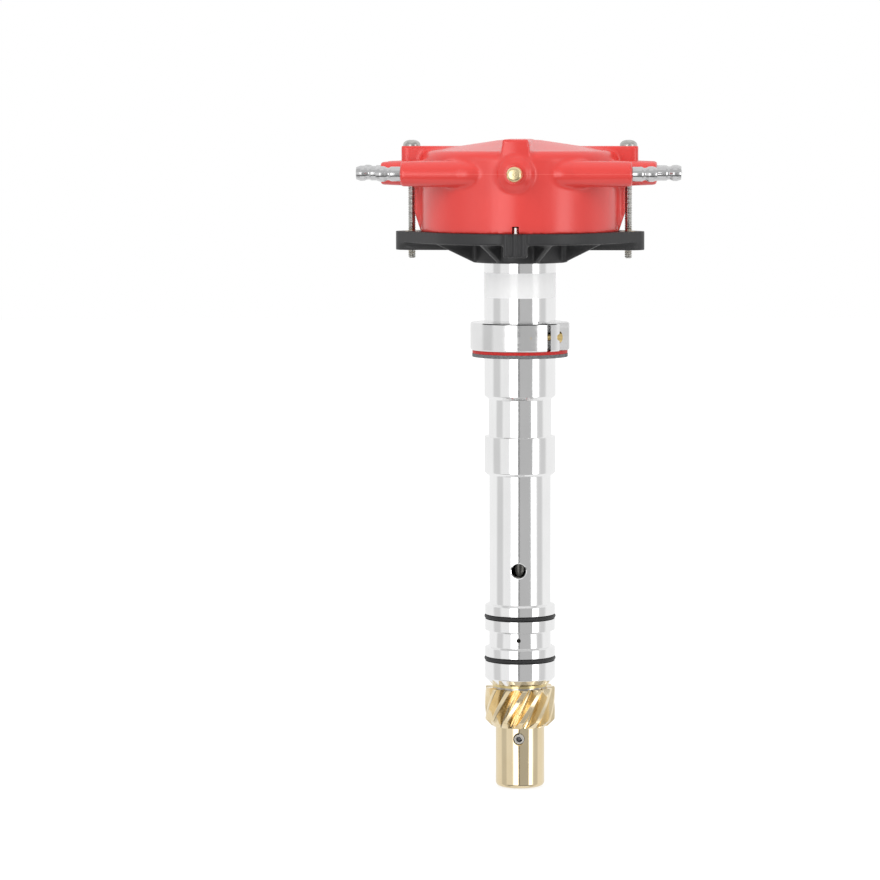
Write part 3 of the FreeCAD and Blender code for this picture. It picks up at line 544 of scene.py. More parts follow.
drills = [
    rim_cutter(),
    rod_mesh(HOLE_RADIUS, DRILL_LENGTH, (0, 0, HOLE_HEIGHT), FRONT),
    rod_mesh(OIL_HOLE_RADIUS, DRILL_LENGTH, (0, 0, OIL_HOLE_HEIGHT), FRONT),
]
for quarter in range(4):
    angle = math.radians(45.0 + 90.0 * quarter)
    place = (HEAD_SCREW_CIRCLE * math.cos(angle), HEAD_SCREW_CIRCLE * math.sin(angle), FLOOR_TOP - 1.0)
    drills.append(rod_mesh(HEAD_SCREW_HOLE, 6.0, place, UPWARDS, steps=24))
housing_mesh = turned_mesh("housing", eased(housing_outline, 0.22, 4))
housing_mesh = cut_away(housing_mesh, drills, smooth_angle=31.0)
place_piece("housing_turned", housing_mesh, polished_aluminium, "housing", "polished_aluminium", "housing")

# Label band
# A strip of thin white film with a clear glossy face. It is glued round the barrel, just under
# the cap base.
LABEL_LOW = 27.3
LABEL_HIGH = 38.8
LABEL_THICKNESS = 0.04
label_film, tree, shader = new_material("label_film", tint(254, 254, 254), 0.0, 0.32)
shader.inputs["Coat Weight"].default_value = 1.0
shader.inputs["Coat Roughness"].default_value = 0.08
paper = stretched_noise(tree, (700.0, 700.0, 700.0), 3.0)
two_toned(tree, shader, paper, tint(252, 252, 252), tint(255, 255, 255))
bump(tree, shader, paper, 0.15, 0.01)
label_outline = ring_outline(BARREL_RADIUS + 0.002, BARREL_RADIUS + LABEL_THICKNESS, LABEL_LOW, LABEL_HIGH)
label_mesh = turned_mesh("label_band", label_outline)
place_piece("label_band", label_mesh, label_film, "housing", "polished_aluminium")

# O-rings
# Two rings of black nitrile rubber in the journal's grooves, a little proud of the lands so that
# they seal in the block.
RING_SECTION = 0.93
SECTION_STEPS = 20
moulded_grain, _, grain_sink = shader_group("moulded_grain", [], ["Height", "Mottle"])
for label, scale in (("Height", 1500.0), ("Mottle", 55.0)):
    grain = stretched_noise(moulded_grain, (scale, scale, scale), 3.0)
    moulded_grain.links.new(grain, grain_sink.inputs[label])


def moulded(name, low_colour, high_colour, smoothest, roughest, grain_depth):
    """A moulded plastic or rubber: a fine even grain, and a mottle in its colour and its gloss."""
    material, tree, shader = new_material(name, high_colour, 0.0, roughest)
    grain = add_node(tree, "ShaderNodeGroup", node_tree=moulded_grain)
    mottle = grain.outputs["Mottle"]
    two_toned(tree, shader, mottle, low_colour, high_colour)
    tree.links.new(remapped(tree, mottle, smoothest, roughest), shader.inputs["Roughness"])
    bump(tree, shader, grain.outputs["Height"], 0.4, grain_depth)
    return material


black_rubber = moulded("black_rubber", tint(26, 26, 27), tint(40, 40, 41), 0.42, 0.58, 0.01)
for name, groove_top in (("upper_o_ring", UPPER_RING_TOP), ("lower_o_ring", LOWER_RING_TOP)):
    groove_middle = groove_top - O_RING_GROOVE / 2
    section = []
    for step in range(SECTION_STEPS):
        angle = 2 * math.pi * step / SECTION_STEPS
        section.append((O_RING_SEAT + RING_SECTION * (1 + math.cos(angle)),
                        groove_middle + RING_SECTION * math.sin(angle)))
    ring_mesh = turned_mesh(name, section)
    place_piece(name + "_fitted", ring_mesh, black_rubber, "housing", "black_rubber", name)

# Slip collar and gaskets
# The collar is a split ring of aluminium, clamped on the barrel by a brass-coloured screw across
# the split. Under it lie a red and a grey gasket, and the lower one meets the manifold.


def geometry_tree(name, inputs):
    """A geometry tree with named sizes; inputs are (name, socket kind, value)."""
    tree = bpy.data.node_groups.new(name, "GeometryNodeTree")
    tree.interface.new_socket("Geometry", in_out="INPUT", socket_type="NodeSocketGeometry")
    for label, kind, value in inputs:
        socket = tree.interface.new_socket(label, in_out="INPUT", socket_type="NodeSocket" + kind)
        if value is not None:
            socket.default_value = value
    tree.interface.new_socket("Geometry", in_out="OUTPUT", socket_type="NodeSocketGeometry")
    return tree, tree.nodes.new("NodeGroupInput"), tree.nodes.new("NodeGroupOutput")


smooth_tree, source, sink = geometry_tree("smooth_shading", [])
merge = add_node(smooth_tree, "GeometryNodeMergeByDistance", [("Geometry", source), ("Distance", 1e-6)])
all_smooth = add_node(smooth_tree, "GeometryNodeSetShadeSmooth", [("Geometry", merge)])
corner_angle = add_node(smooth_tree, "GeometryNodeInputMeshEdgeAngle")
is_corner = add_node(smooth_tree, "FunctionNodeCompare",
                     [(0, corner_angle.outputs["Unsigned Angle"]), (1, math.radians(32.0))],
                     data_type="FLOAT", operation="GREATER_THAN")
corners_sharp = add_node(smooth_tree, "GeometryNodeSetShadeSmooth", [
    ("Geometry", all_smooth), ("Selection", is_corner), ("Shade Smooth", False)], domain="EDGE")
smooth_tree.links.new(corners_sharp.outputs[0], sink.inputs[0])


def dress(material, *nodes):
    """Gives CAD nodes their material and smooth shading; their shapes stay as they are."""
    for node in nodes:
        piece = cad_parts[node]
        piece.data.materials.clear()
        piece.data.materials.append(material)
        modifier = piece.modifiers.new("smooth", "NODES")
        modifier.node_group = smooth_tree


clamp_brass = turned_metal("clamp_brass", tint(214, 184, 112), tint(236, 210, 150), 0.16, 0.3, 0.002)
collar_aluminium = turned_metal(
    "collar_aluminium", tint(228, 228, 228), tint(243, 243, 243), 0.1, 0.2, 0.003)
dress(collar_aluminium, "slip_collar")
dress(clamp_brass, "collar_clamp_screw")


def gasket_sheet(name, low_colour, high_colour, roughness):
    """Gasket sheet: short fibres pressed flat in a binder."""
    material, tree, shader = new_material(name, high_colour, 0.0, roughness)
    fibres = stretched_noise(tree, (1900.0, 900.0, 1400.0), 5.0)
    two_toned(tree, shader, remapped(tree, fibres, 0.0, 1.0), low_colour, high_colour)
    bump(tree, shader, fibres, 0.5, 0.03)
    return material


GASKET_BORE = 16.8
GASKET_THICKNESS = 1.6
red_sheet = gasket_sheet("red_gasket_sheet", tint(176, 26, 22), tint(206, 38, 33), 0.55)
grey_sheet = gasket_sheet("grey_gasket_sheet", tint(92, 93, 95), tint(128, 129, 131), 0.8)
for name, node, radius, low, sheet, slot in (
    ("red_gasket_ring", "red_gasket", 21.95, GASKET_THICKNESS, red_sheet, "red_rubber"),
    ("grey_gasket_ring", "grey_gasket", 22.05, 0.0, grey_sheet, "grey_fibre"),
):
    outline = ring_outline(GASKET_BORE, radius, low, low + GASKET_THICKNESS)
    place_piece(name, turned_mesh(name, eased(outline, 0.12)), sheet, "collar", slot, node)

# Bushing and thrust washer
# A bronze bushing is pressed into the housing's lower end, and its flange carries the gear's
# thrust through a thin steel washer.


def marked(material, axis, operation, colour, limit, width=0.0):
    """Gives a material another colour where its place along an axis meets a limit, in millimetres."""
    tree = material.node_tree
    shader = tree.nodes["Principled BSDF"]
    where = add_node(tree, "ShaderNodeTexCoord")
    split = add_node(tree, "ShaderNodeSeparateXYZ", [(0, where.outputs["Object"])])
    mask = reckoned(tree, operation, split.outputs[axis], limit * MM, width * MM)
    plain = shader.inputs["Base Color"].links[0].from_socket
    two_toned(tree, shader, mask, plain, colour)


bushing_bronze = turned_metal(
    "bushing_bronze", tint(206, 182, 122), tint(232, 214, 164), 0.14, 0.26, 0.003)
# Above its flange, inside the housing, the bushing is painted near black as shade, so the oil hole looks
# dark.
marked(bushing_bronze, "Z", "GREATER_THAN", tint(22, 19, 15), housing_low + 2.0)
ground_steel = turned_metal(
    "ground_steel", tint(168, 169, 172), tint(206, 207, 209), 0.12, 0.24, 0.002)
# The shaft's steel is given a dark colour.
dark_shaft_steel = turned_metal("dark_shaft_steel", tint(64, 63, 61), tint(92, 91, 88), 0.16, 0.28, 0.002)
dress(bushing_bronze, "lower_bushing")
dress(ground_steel, "thrust_washer")
dress(dark_shaft_steel, "shaft")

# Drive gear
# Bronze, with 13 right-hand helical teeth cut by a hob, which leaves fine lines along them. The
# gear and its long hub are one piece, pinned to the shaft.
GEAR_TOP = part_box("drive_gear")[1].z / MM
GEAR_LENGTH = 18.0
GEAR_END = GEAR_TOP - GEAR_LENGTH
HUB_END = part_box("drive_gear")[0].z / MM
HUB_RADIUS = 11.35
GEAR_RADIUS = 16.2
TOOTH_COUNT = 13
TOOTH_DEPTH = 4.3
ROOT_RADIUS = GEAR_RADIUS - TOOTH_DEPTH
ROOT_HOLLOW = 0.25
ROOT_HALF_WIDTH = 2.9
FLANK_HALF_WIDTHS = (2.25, 2.1, 1.78, 1.4, 0.98)
TIP_BREAK = 0.12
TIP_SPREAD = 0.012
TIP_NARROWING = 0.004
LOW_CHAMFER = 3.0
HIGH_CHAMFER = 0.35
HELIX_ANGLE = math.radians(33.0)
TOOTH_TURN = math.radians(-9.0)
GEAR_SECTIONS = 41
SHAFT_RADIUS = 6.35


def tooth_section():
    """The gear's outline across its axis, as a closed curve: round roots, bowed flanks, flat tips."""
    rise = [(ROOT_RADIUS - ROOT_HOLLOW, ROOT_HALF_WIDTH / ROOT_RADIUS)]
    flank_steps = len(FLANK_HALF_WIDTHS) - 1
    for step, half in enumerate(FLANK_HALF_WIDTHS):
        radius = ROOT_RADIUS + TOOTH_DEPTH * step / flank_steps
        rise.append((radius, half / radius))
    tip_radius, tip_angle = rise.pop()
    rise.append((tip_radius - TIP_BREAK, tip_angle + TIP_SPREAD))
    rise.append((GEAR_RADIUS, tip_angle - TIP_NARROWING))
    points = []
    for tooth in range(TOOTH_COUNT):
        middle = TOOTH_TURN + 2 * math.pi * tooth / TOOTH_COUNT
        points += [(radius, middle - offset) for radius, offset in rise]
        points += [(radius, middle + offset) for radius, offset in reversed(rise)]
    curve = bpy.data.curves.new("tooth_section", "CURVE")
    spline = curve.splines.new("POLY")
    spline.points.add(len(points) - 1)
    spline.use_cyclic_u = True
    for point, (radius, angle) in zip(spline.points, points):
        point.co = (radius * math.cos(angle) * MM, radius * math.sin(angle) * MM, 0.0, 1.0)
    return bpy.data.objects.new("tooth_section", curve)


def finish_tree(tree, sink, geometry, material):
    """Ends a tree: instances become real, and the material is set."""
    real = add_node(tree, "GeometryNodeRealizeInstances", [("Geometry", geometry)])
    coated = add_node(tree, "GeometryNodeSetMaterial",
                      [("Geometry", real), ("Material", material)])
    tree.links.new(coated.outputs[0], sink.inputs[0])


def grow(tree, start_mesh=None, **sizes):
    """Runs a geometry tree with its sizes set, and returns the plain mesh."""
    mesh = start_mesh or bpy.data.meshes.new("start")
    holder = bpy.data.objects.new("grower", mesh)
    modifier = holder.modifiers.new("grow", "NODES")
    modifier.node_group = tree
    for label, value in sizes.items():
        modifier[tree.interface.items_tree[label.replace("_", " ")].identifier] = value
    return plain_copy(holder)


gear_bronze, tree, shader = new_material("gear_bronze", tint(244, 223, 178), 1.0, 0.22)
hob_lines = stretched_noise(tree, (900.0, 900.0, 220.0), 3.0)
patches = stretched_noise(tree, (160.0, 160.0, 90.0), 4.0)
two_toned(tree, shader, remapped(tree, patches, 0.0, 1.0), tint(238, 218, 178), tint(246, 230, 196))
tree.links.new(remapped(tree, hob_lines, 0.12, 0.22), shader.inputs["Roughness"])
bump(tree, shader, hob_lines, 0.15, 0.003)

gear_tree, source, sink = geometry_tree("helical_teeth", [
    ("Section", "Object", None), ("Low", "Float", 0.0), ("High", "Float", 0.02), ("Twist", "Float", 0.6),
    ("Sections", "Int", 21), ("Tip Radius", "Float", 0.016), ("Low Chamfer", "Float", 0.002),
    ("High Chamfer", "Float", 0.001),
])
low_point = add_node(gear_tree, "ShaderNodeCombineXYZ", [("Z", source.outputs["Low"])])
high_point = add_node(gear_tree, "ShaderNodeCombineXYZ", [("Z", source.outputs["High"])])
axis_line = add_node(gear_tree, "GeometryNodeCurvePrimitiveLine",
                     [("Start", low_point), ("End", high_point)])
stations = add_node(gear_tree, "GeometryNodeResampleCurve",
                    [("Curve", axis_line), ("Count", source.outputs["Sections"])])
along = add_node(gear_tree, "GeometryNodeSplineParameter")
tilt = reckoned(gear_tree, "MULTIPLY", along.outputs["Factor"], source.outputs["Twist"])
twisted = add_node(gear_tree, "GeometryNodeSetCurveTilt", [("Curve", stations), ("Tilt", tilt)])
section_info = add_node(gear_tree, "GeometryNodeObjectInfo", [("Object", source.outputs["Section"])])
swept = add_node(gear_tree, "GeometryNodeCurveToMesh",
                 [("Curve", twisted), ("Profile Curve", section_info.outputs["Geometry"]),
                  ("Fill Caps", True)])
where = add_node(gear_tree, "GeometryNodeInputPosition")
split = add_node(gear_tree, "ShaderNodeSeparateXYZ", [(0, where)])
flat = add_node(gear_tree, "ShaderNodeCombineXYZ", [("X", split.outputs["X"]), ("Y", split.outputs["Y"])])
radius = add_node(gear_tree, "ShaderNodeVectorMath", [(0, flat)], operation="LENGTH")


def chamfer_limit(near, chamfer, sign):
    """The largest radius that a 45 degree chamfer leaves at the height of a point."""
    gap = reckoned(gear_tree, "SUBTRACT", split.outputs["Z"], near)
    inward = reckoned(gear_tree, "MULTIPLY", gap, sign)
    cut = reckoned(gear_tree, "SUBTRACT", inward, chamfer)
    return reckoned(gear_tree, "ADD", cut, source.outputs["Tip Radius"])


low_limit = chamfer_limit(source.outputs["Low"], source.outputs["Low Chamfer"], 1.0)
high_limit = chamfer_limit(source.outputs["High"], source.outputs["High Chamfer"], -1.0)
limit = reckoned(gear_tree, "MINIMUM", low_limit, high_limit)
squeeze = reckoned(gear_tree, "DIVIDE", limit, radius.outputs["Value"])
squeeze = reckoned(gear_tree, "MINIMUM", squeeze, 1.0)
inner = add_node(gear_tree, "ShaderNodeVectorMath", [(0, flat), ("Scale", squeeze)],
                 operation="SCALE")
inner_parts = add_node(gear_tree, "ShaderNodeSeparateXYZ", [(0, inner)])
new_place = add_node(gear_tree, "ShaderNodeCombineXYZ", [
    ("X", inner_parts.outputs["X"]), ("Y", inner_parts.outputs["Y"]), ("Z", split.outputs["Z"])])
chamfered = add_node(gear_tree, "GeometryNodeSetPosition",
                     [("Geometry", swept), ("Position", new_place)])
finish_tree(gear_tree, sink, chamfered, gear_bronze)
section_object = tooth_section()
scene.collection.objects.link(section_object)
gear_mesh = grow(gear_tree, Section=section_object, Low=GEAR_END * MM, High=GEAR_TOP * MM,
                 Twist=GEAR_LENGTH * math.tan(HELIX_ANGLE) / GEAR_RADIUS, Sections=GEAR_SECTIONS,
                 Tip_Radius=GEAR_RADIUS * MM, Low_Chamfer=LOW_CHAMFER * MM, High_Chamfer=HIGH_CHAMFER * MM)
bpy.data.objects.remove(section_object)
shaft_drill = rod_mesh(SHAFT_RADIUS, GEAR_LENGTH + 4.0, (0, 0, GEAR_END - 2.0), UPWARDS)
gear_mesh = cut_away(tidy_mesh(gear_mesh), [shaft_drill], smooth_angle=28.0)
place_piece("drive_gear_teeth", gear_mesh, gear_bronze, "shaft", "gear_bronze", "drive_gear")

# The hub is turned smooth, with a socket in its end, and the pin's two holes are countersunk.
hub_bronze = turned_metal("hub_bronze", tint(228, 208, 168), tint(242, 226, 192), 0.05, 0.12, 0.002)
PIN_HEIGHT = GEAR_END - 5.1
PIN_RADIUS = 2.53
PIN_PLAY = 0.04
MOUTH_DEPTH = 0.75
MOUTH_RADIUS = PIN_RADIUS - 0.28
MOUTH_LENGTH = 1.2
SOCKET_RADIUS = 6.6
SOCKET_TOP = HUB_END + 6.0
HUB_TOP = GEAR_END + 0.4
hub_outline = [
    (SHAFT_RADIUS, HUB_TOP),
    (HUB_RADIUS, HUB_TOP),
    (HUB_RADIUS, HUB_END + 1.6),
    (HUB_RADIUS - 0.5, HUB_END + 0.55),
    (HUB_RADIUS - 1.6, HUB_END),
    (SOCKET_RADIUS, HUB_END),
    (SOCKET_RADIUS, SOCKET_TOP),
    (SHAFT_RADIUS, SOCKET_TOP),
]
hub_mesh = turned_mesh("hub", eased(hub_outline, 0.3))
drill_start = (0, DRILL_LENGTH / 2, PIN_HEIGHT)
hub_drills = [rod_mesh(PIN_RADIUS + PIN_PLAY, DRILL_LENGTH, drill_start, FRONT, steps=48)]
for side in (-1.0, 1.0):
    mouth = (0.0, side * (HUB_RADIUS - MOUTH_DEPTH), PIN_HEIGHT)
    hub_drills.append(rod_mesh(MOUTH_RADIUS, MOUTH_LENGTH, mouth, (0.0, side, 0.0),
                               MOUTH_RADIUS + MOUTH_LENGTH, steps=48))
hub_mesh = cut_away(hub_mesh, hub_drills)
place_piece("drive_gear_hub", hub_mesh, hub_bronze, "shaft", "gear_bronze", "drive_gear")

# Roll pin
# A coiled spring pin: a strip of dark spring steel rolled up two and a quarter turns, driven
# through the hub and the shaft and left a little short of the hub's surface.
PIN_TURNS = 2.25
PIN_INNER = 1.3
STRIP_THICKNESS = 0.4
PIN_HALF_LENGTH = HUB_RADIUS - 0.5
SPIRAL_STEPS = 90


def spiral_strip():
    """The pin as a rolled strip along Y."""
    vertices, faces = [], []
    for step in range(SPIRAL_STEPS + 1):
        share = step / SPIRAL_STEPS
        angle = 2 * math.pi * PIN_TURNS * share
        middle = PIN_INNER + (PIN_RADIUS - PIN_INNER - STRIP_THICKNESS / 2) * share
        for end in (-PIN_HALF_LENGTH, PIN_HALF_LENGTH):
            for side in (-0.5, 0.5):
                radius = middle + side * STRIP_THICKNESS
                place = Vector((radius * math.cos(angle), end, PIN_HEIGHT + radius * math.sin(angle)))
                vertices.append(place * MM)
    for step in range(SPIRAL_STEPS):
        here, there = 4 * step, 4 * step + 4
        for first, second in ((0, 1), (1, 3), (3, 2), (2, 0)):
            faces.append((here + first, here + second, there + second, there + first))
    faces.append((0, 2, 3, 1))
    last = 4 * SPIRAL_STEPS
    faces.append((last, last + 1, last + 3, last + 2))
    mesh = bpy.data.meshes.new("roll_pin")
    mesh.from_pydata(vertices, [], faces)
    return tidy_mesh(mesh)


spring_steel = turned_metal("spring_steel", tint(54, 54, 56), tint(84, 84, 86), 0.3, 0.42, 0.003, "Y")
# The pin's cut ends are bright.
for operation, end in (("GREATER_THAN", 1), ("LESS_THAN", -1)):
    marked(spring_steel, "Y", operation, tint(194, 190, 182), end * (PIN_HALF_LENGTH - 0.1))
place_piece("roll_pin_coiled", spiral_strip(), spring_steel, "shaft", "dark_spring_steel", "roll_pin")

# Cap base
# Moulded in black glass-filled nylon: a plate with two ears, a hub round the housing, and webs.
# Its corners are rounded as the mould leaves them.


def merged(name, meshes):
    """Several meshes as one."""
    shell = bmesh.new()
    for mesh in meshes:
        shell.from_mesh(mesh)
    whole = bpy.data.meshes.new(name)
    shell.to_mesh(whole)
    shell.free()
    return whole


def skinned(voxel, *nodes, extra=()):
    """One moulding's CAD nodes and extra closed meshes, as one even skin of small faces."""
    shapes = [tidy_mesh(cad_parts[node].data.copy()) for node in nodes]
    holder = bpy.data.objects.new("skin", merged("skin", [*shapes, *extra]))
    modifier = holder.modifiers.new("skin", "REMESH")
    modifier.mode = "VOXEL"
    modifier.voxel_size = voxel * MM
    return plain_copy(holder)


# A step towards the neighbours and a slightly longer one back even the skin without shrinking it.
EVENING_STEPS = (0.5, -0.53)
FILLET_STEP = 0.6


def soften(mesh, rounds, fillet_rounds, fillet_start):
    """Evens the skin, then fills its inner corners as the radii of a mould do."""
    count = len(mesh.vertices)
    place = np.empty(count * 3)
    mesh.vertices.foreach_get("co", place)
    place = place.reshape(count, 3)
    edges = np.empty(len(mesh.edges) * 2, dtype=np.int64)
    mesh.edges.foreach_get("vertices", edges)
    first, second = edges.reshape(-1, 2).T
    ends = np.concatenate((first, second))
    others = np.concatenate((second, first))
    degree = np.maximum(np.bincount(ends, minlength=count), 1)[:, None]

    def pull():
        """How far the middle of its neighbours is from each point."""
        total = [np.bincount(ends, weights=place[others, k], minlength=count) for k in range(3)]
        return np.stack(total, axis=1) / degree - place

    for _ in range(rounds):
        for share in EVENING_STEPS:
            place += share * pull()
    for turn in range(fillet_rounds):
        if turn % 5 == 0:
            mesh.vertices.foreach_set("co", place.ravel())
            mesh.update()
            normals = np.empty(count * 3)
            mesh.vertices.foreach_get("normal", normals)
            normals = normals.reshape(count, 3)
        step = pull()
        hollow = np.einsum("ij,ij->i", step, normals)
        share = np.clip(hollow / (fillet_start * MM), 0.0, 1.0)[:, None]
        place += FILLET_STEP * share * step
    for _ in range(rounds):
        for share in EVENING_STEPS:
            place += share * pull()
    mesh.vertices.foreach_set("co", place.ravel())
    mesh.update()
    mesh.polygons.foreach_set("use_smooth", [True] * len(mesh.polygons))
    return mesh


BASE_VOXEL = 0.6
black_plastic = moulded("black_plastic", tint(38, 38, 39), tint(48, 48, 49), 0.4, 0.52, 0.02)
base_mesh = soften(skinned(BASE_VOXEL, "cap_base"), rounds=2, fillet_rounds=16, fillet_start=0.05)
place_piece("cap_base_moulded", base_mesh, black_plastic, "housing", "black_plastic", "cap_base")

pin_steel = turned_metal("pin_steel", tint(214, 214, 210), tint(238, 238, 234), 0.2, 0.3, 0.002)
dress(clamp_brass, "ear_inserts")
dress(pin_steel, "locating_pin")

# Cap
# Moulded in red glass-filled polyester: a round body with a coned roof, eight arms with a faint
# parting line round them, shown as a thin painted highlight, a coil tower under a ridge, and two
# ears. Inner corners have radii.
CAP_VOXEL = 0.76
CAP_NODES = ("cap", "cap_arms", "cap_ears")
ARM_AXIS = 84.4
ARM_ROOT_RADIUS = 6.3
ARM_ROOT_STRETCH = 1.6
ARM_ROOT_ACROSS = 21.5
ARM_ROOT_ALONG = 37.0
FOOT_BORE = 5.4
FOOT_RADIUS = 8.1
FOOT_START = 41.0
foot_outline = [
    (FOOT_BORE, FOOT_START),
    (FOOT_RADIUS, FOOT_START),
    (FOOT_RADIUS, FOOT_START + 5.2),
    (FOOT_RADIUS - 0.8, FOOT_START + 6.0),
    (FOOT_BORE, FOOT_START + 6.9),
]
turn_forward = Matrix.Rotation(math.radians(90.0), 4, "X")
foot_mesh = turned_mesh("tower_foot", eased(foot_outline, 0.5))
foot_mesh.transform(Matrix.Translation((0.0, 0.0, ARM_AXIS * MM)) @ turn_forward)
extra_forms = [foot_mesh]
for side in (-1, 1):
    for end in (-1, 1):
        root = plain_form("arm_root", bmesh.ops.create_uvsphere, u_segments=48, v_segments=24,
                          radius=ARM_ROOT_RADIUS * MM)
        middle = Vector((side * ARM_ROOT_ACROSS, end * ARM_ROOT_ALONG, ARM_AXIS)) * MM
        root.transform(Matrix.Translation(middle) @ Matrix.Diagonal((ARM_ROOT_STRETCH, 1.0, 1.0, 1.0)))
        extra_forms.append(root)


def block_mesh(low, high):
    """A closed box between two corners, in millimetres."""
    mesh = plain_form("block", bmesh.ops.create_cube, size=MM)
    low, high = Vector(low), Vector(high)
    mesh.transform(Matrix.Translation((low + high) / 2 * MM) @ Matrix.Diagonal((*(high - low), 1.0)))
    return mesh


# The notch over the locating pin is filled before the skin is made, and cut with sharp edges after.
CAP_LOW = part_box("cap")[0].z / MM
CAP_WALL_OUTSIDE = 45.4
CAP_WALL_INSIDE = 42.1
NOTCH_FILL_HALF = 2.4
NOTCH_FILL_HEIGHT = 4.2
NOTCH_HALF = 1.5
NOTCH_HEIGHT = 3.3
NOTCH_OUTSIDE = 48.0
NOTCH_INSIDE = 40.5
extra_forms.append(block_mesh((-NOTCH_FILL_HALF, -CAP_WALL_OUTSIDE, CAP_LOW),
                              (NOTCH_FILL_HALF, -CAP_WALL_INSIDE, CAP_LOW + NOTCH_FILL_HEIGHT)))
cap_skin = skinned(CAP_VOXEL, *CAP_NODES, extra=extra_forms)
cap_mesh = soften(cap_skin, rounds=2, fillet_rounds=8, fillet_start=0.05)
notch = block_mesh((-NOTCH_HALF, -NOTCH_OUTSIDE, CAP_LOW - 1.0),
                   (NOTCH_HALF, -NOTCH_INSIDE, CAP_LOW + NOTCH_HEIGHT))
cap_mesh = cut_away(cap_mesh, [notch], smooth_angle=70.0)
red_plastic = moulded("red_plastic", tint(222, 62, 57), tint(226, 66, 60), 0.23, 0.27, 0.02)
red_plastic.node_tree.nodes["Principled BSDF"].inputs["IOR"].default_value = 1.62
# A thin lighter band round the cap at the arms' axis height is a painted highlight on the parting line.
marked(red_plastic, "Z", "COMPARE", tint(232, 86, 80), ARM_AXIS, 0.16)
place_piece("cap_moulded", cap_mesh, red_plastic, "cap", "red_plastic", *CAP_NODES)

# Plug terminals
# Eight plated terminals are moulded into the arms. Each has a collar, a neck and a bulge that
# the lead's clip snaps over, and inside the cap its electrode hangs beside the rotor's path.
TERMINAL_CIRCLE = 39.5
OUTER_ARM_END = 52.1
MIDDLE_ARM_END = 62.8
TERMINAL_FOOT = -3.0
TERMINAL_TIP = 11.5
terminal_outline = [
    (1.5, TERMINAL_FOOT), (1.5, -0.2), (3.3, 0.0), (3.3, 4.4), (2.8, 5.2), (2.8, 6.0), (3.45, 7.5),
    (3.5, 9.3), (2.8, 11.3),
]
plated = turned_metal(
    "plated_terminal", tint(200, 200, 201), tint(220, 220, 220), 0.12, 0.24, 0.002, "X")
closed_outline = [(0.0, TERMINAL_FOOT)] + eased(terminal_outline, 0.18, 2) + [(0.0, TERMINAL_TIP)]
terminal_mesh = turned_mesh("terminal", closed_outline, steps=48)
terminal_mesh.transform(Matrix.Rotation(math.radians(90.0), 4, "Y"))

terminal_tree, source, sink = geometry_tree("terminals_on_arms", [("Terminal", "Object", None)])
pattern = add_node(terminal_tree, "GeometryNodeObjectInfo", [("Object", source.outputs["Terminal"])])
where = add_node(terminal_tree, "GeometryNodeInputPosition")
split = add_node(terminal_tree, "ShaderNodeSeparateXYZ", [(0, where)])
is_left = reckoned(terminal_tree, "LESS_THAN", split.outputs["X"], 0.0)
half_turn = reckoned(terminal_tree, "MULTIPLY", is_left, math.pi)
turn = add_node(terminal_tree, "ShaderNodeCombineXYZ", [("Z", half_turn)])
copies = add_node(terminal_tree, "GeometryNodeInstanceOnPoints",
                  [("Points", source.outputs["Geometry"]), ("Instance", pattern.outputs["Geometry"]),
                   ("Rotation", turn)])
finish_tree(terminal_tree, sink, copies, plated)
arm_ends, posts = [], []
for index in range(8):
    angle = math.radians(22.5 + 45.0 * index)
    x, y = TERMINAL_CIRCLE * math.cos(angle), TERMINAL_CIRCLE * math.sin(angle)
    reach = OUTER_ARM_END if abs(y) > abs(x) else MIDDLE_ARM_END
    arm_ends.append(Vector((math.copysign(reach, x), y, ARM_AXIS)) * MM)
    posts.append(Vector((x, y, ARM_AXIS)) * MM)
terminal_names = ["plug_terminal_%d" % number for number in range(1, 9)]


def copies_at(name, places, pattern_mesh):
    """A mesh copied to each place by the terminals' tree."""
    points = bpy.data.meshes.new(name)
    points.from_pydata(places, [], [])
    pattern_object = bpy.data.objects.new(name + "_pattern", pattern_mesh)
    scene.collection.objects.link(pattern_object)
    mesh = grow(terminal_tree, points, Terminal=pattern_object)
    bpy.data.objects.remove(pattern_object)
    return mesh


terminals = copies_at("terminals", arm_ends, terminal_mesh)
place_piece("plug_terminals_plated", terminals, plated, "cap", "zinc_terminal", *terminal_names)
POST_RADIUS = 2.0
POST_DROP = 14.5
NEAR_AXIS = 0.01
post_outline = ring_outline(NEAR_AXIS, POST_RADIUS, -POST_DROP, POST_RADIUS)
post_mesh = turned_mesh("post", eased(post_outline, 0.3), steps=40)
electrodes = copies_at("electrodes", posts, post_mesh)
place_piece("plug_electrodes", electrodes, plated, "cap", "zinc_terminal", *terminal_names)

# Coil terminal
# Turned from brass, at the front of the cap, on a long stem that reaches the brush. Its tip has
# a small drilled centre.
TOWER_END = 48.5
STEM_LENGTH = 45.41
CENTRE_RADIUS = 0.6
CENTRE_START = 10.6
coil_brass = turned_metal(
    "coil_brass", tint(240, 216, 158), tint(250, 236, 196), 0.26, 0.36, 0.002, "Y")
stem_outline = [
    (NEAR_AXIS, -STEM_LENGTH), (1.5, -STEM_LENGTH), (1.5, 0.0), (3.5, 0.0), (3.5, 4.3), (2.85, 6.1),
    (3.5, 7.4), (3.5, 10.0), (3.0, 11.1), (2.2, 11.4), (NEAR_AXIS, 11.5),
]
coil_mesh = turned_mesh("coil_terminal", eased(stem_outline, 0.18, 2), steps=64)
centre_drill = rod_mesh(CENTRE_RADIUS, 2.0, (0, 0, CENTRE_START), UPWARDS, steps=24)
coil_mesh = cut_away(coil_mesh, [centre_drill])
coil_mesh.transform(Matrix.Translation(Vector((0.0, -TOWER_END, ARM_AXIS)) * MM) @ turn_forward)
place_piece("coil_terminal_turned", coil_mesh, coil_brass, "cap", "brass", "coil_terminal")

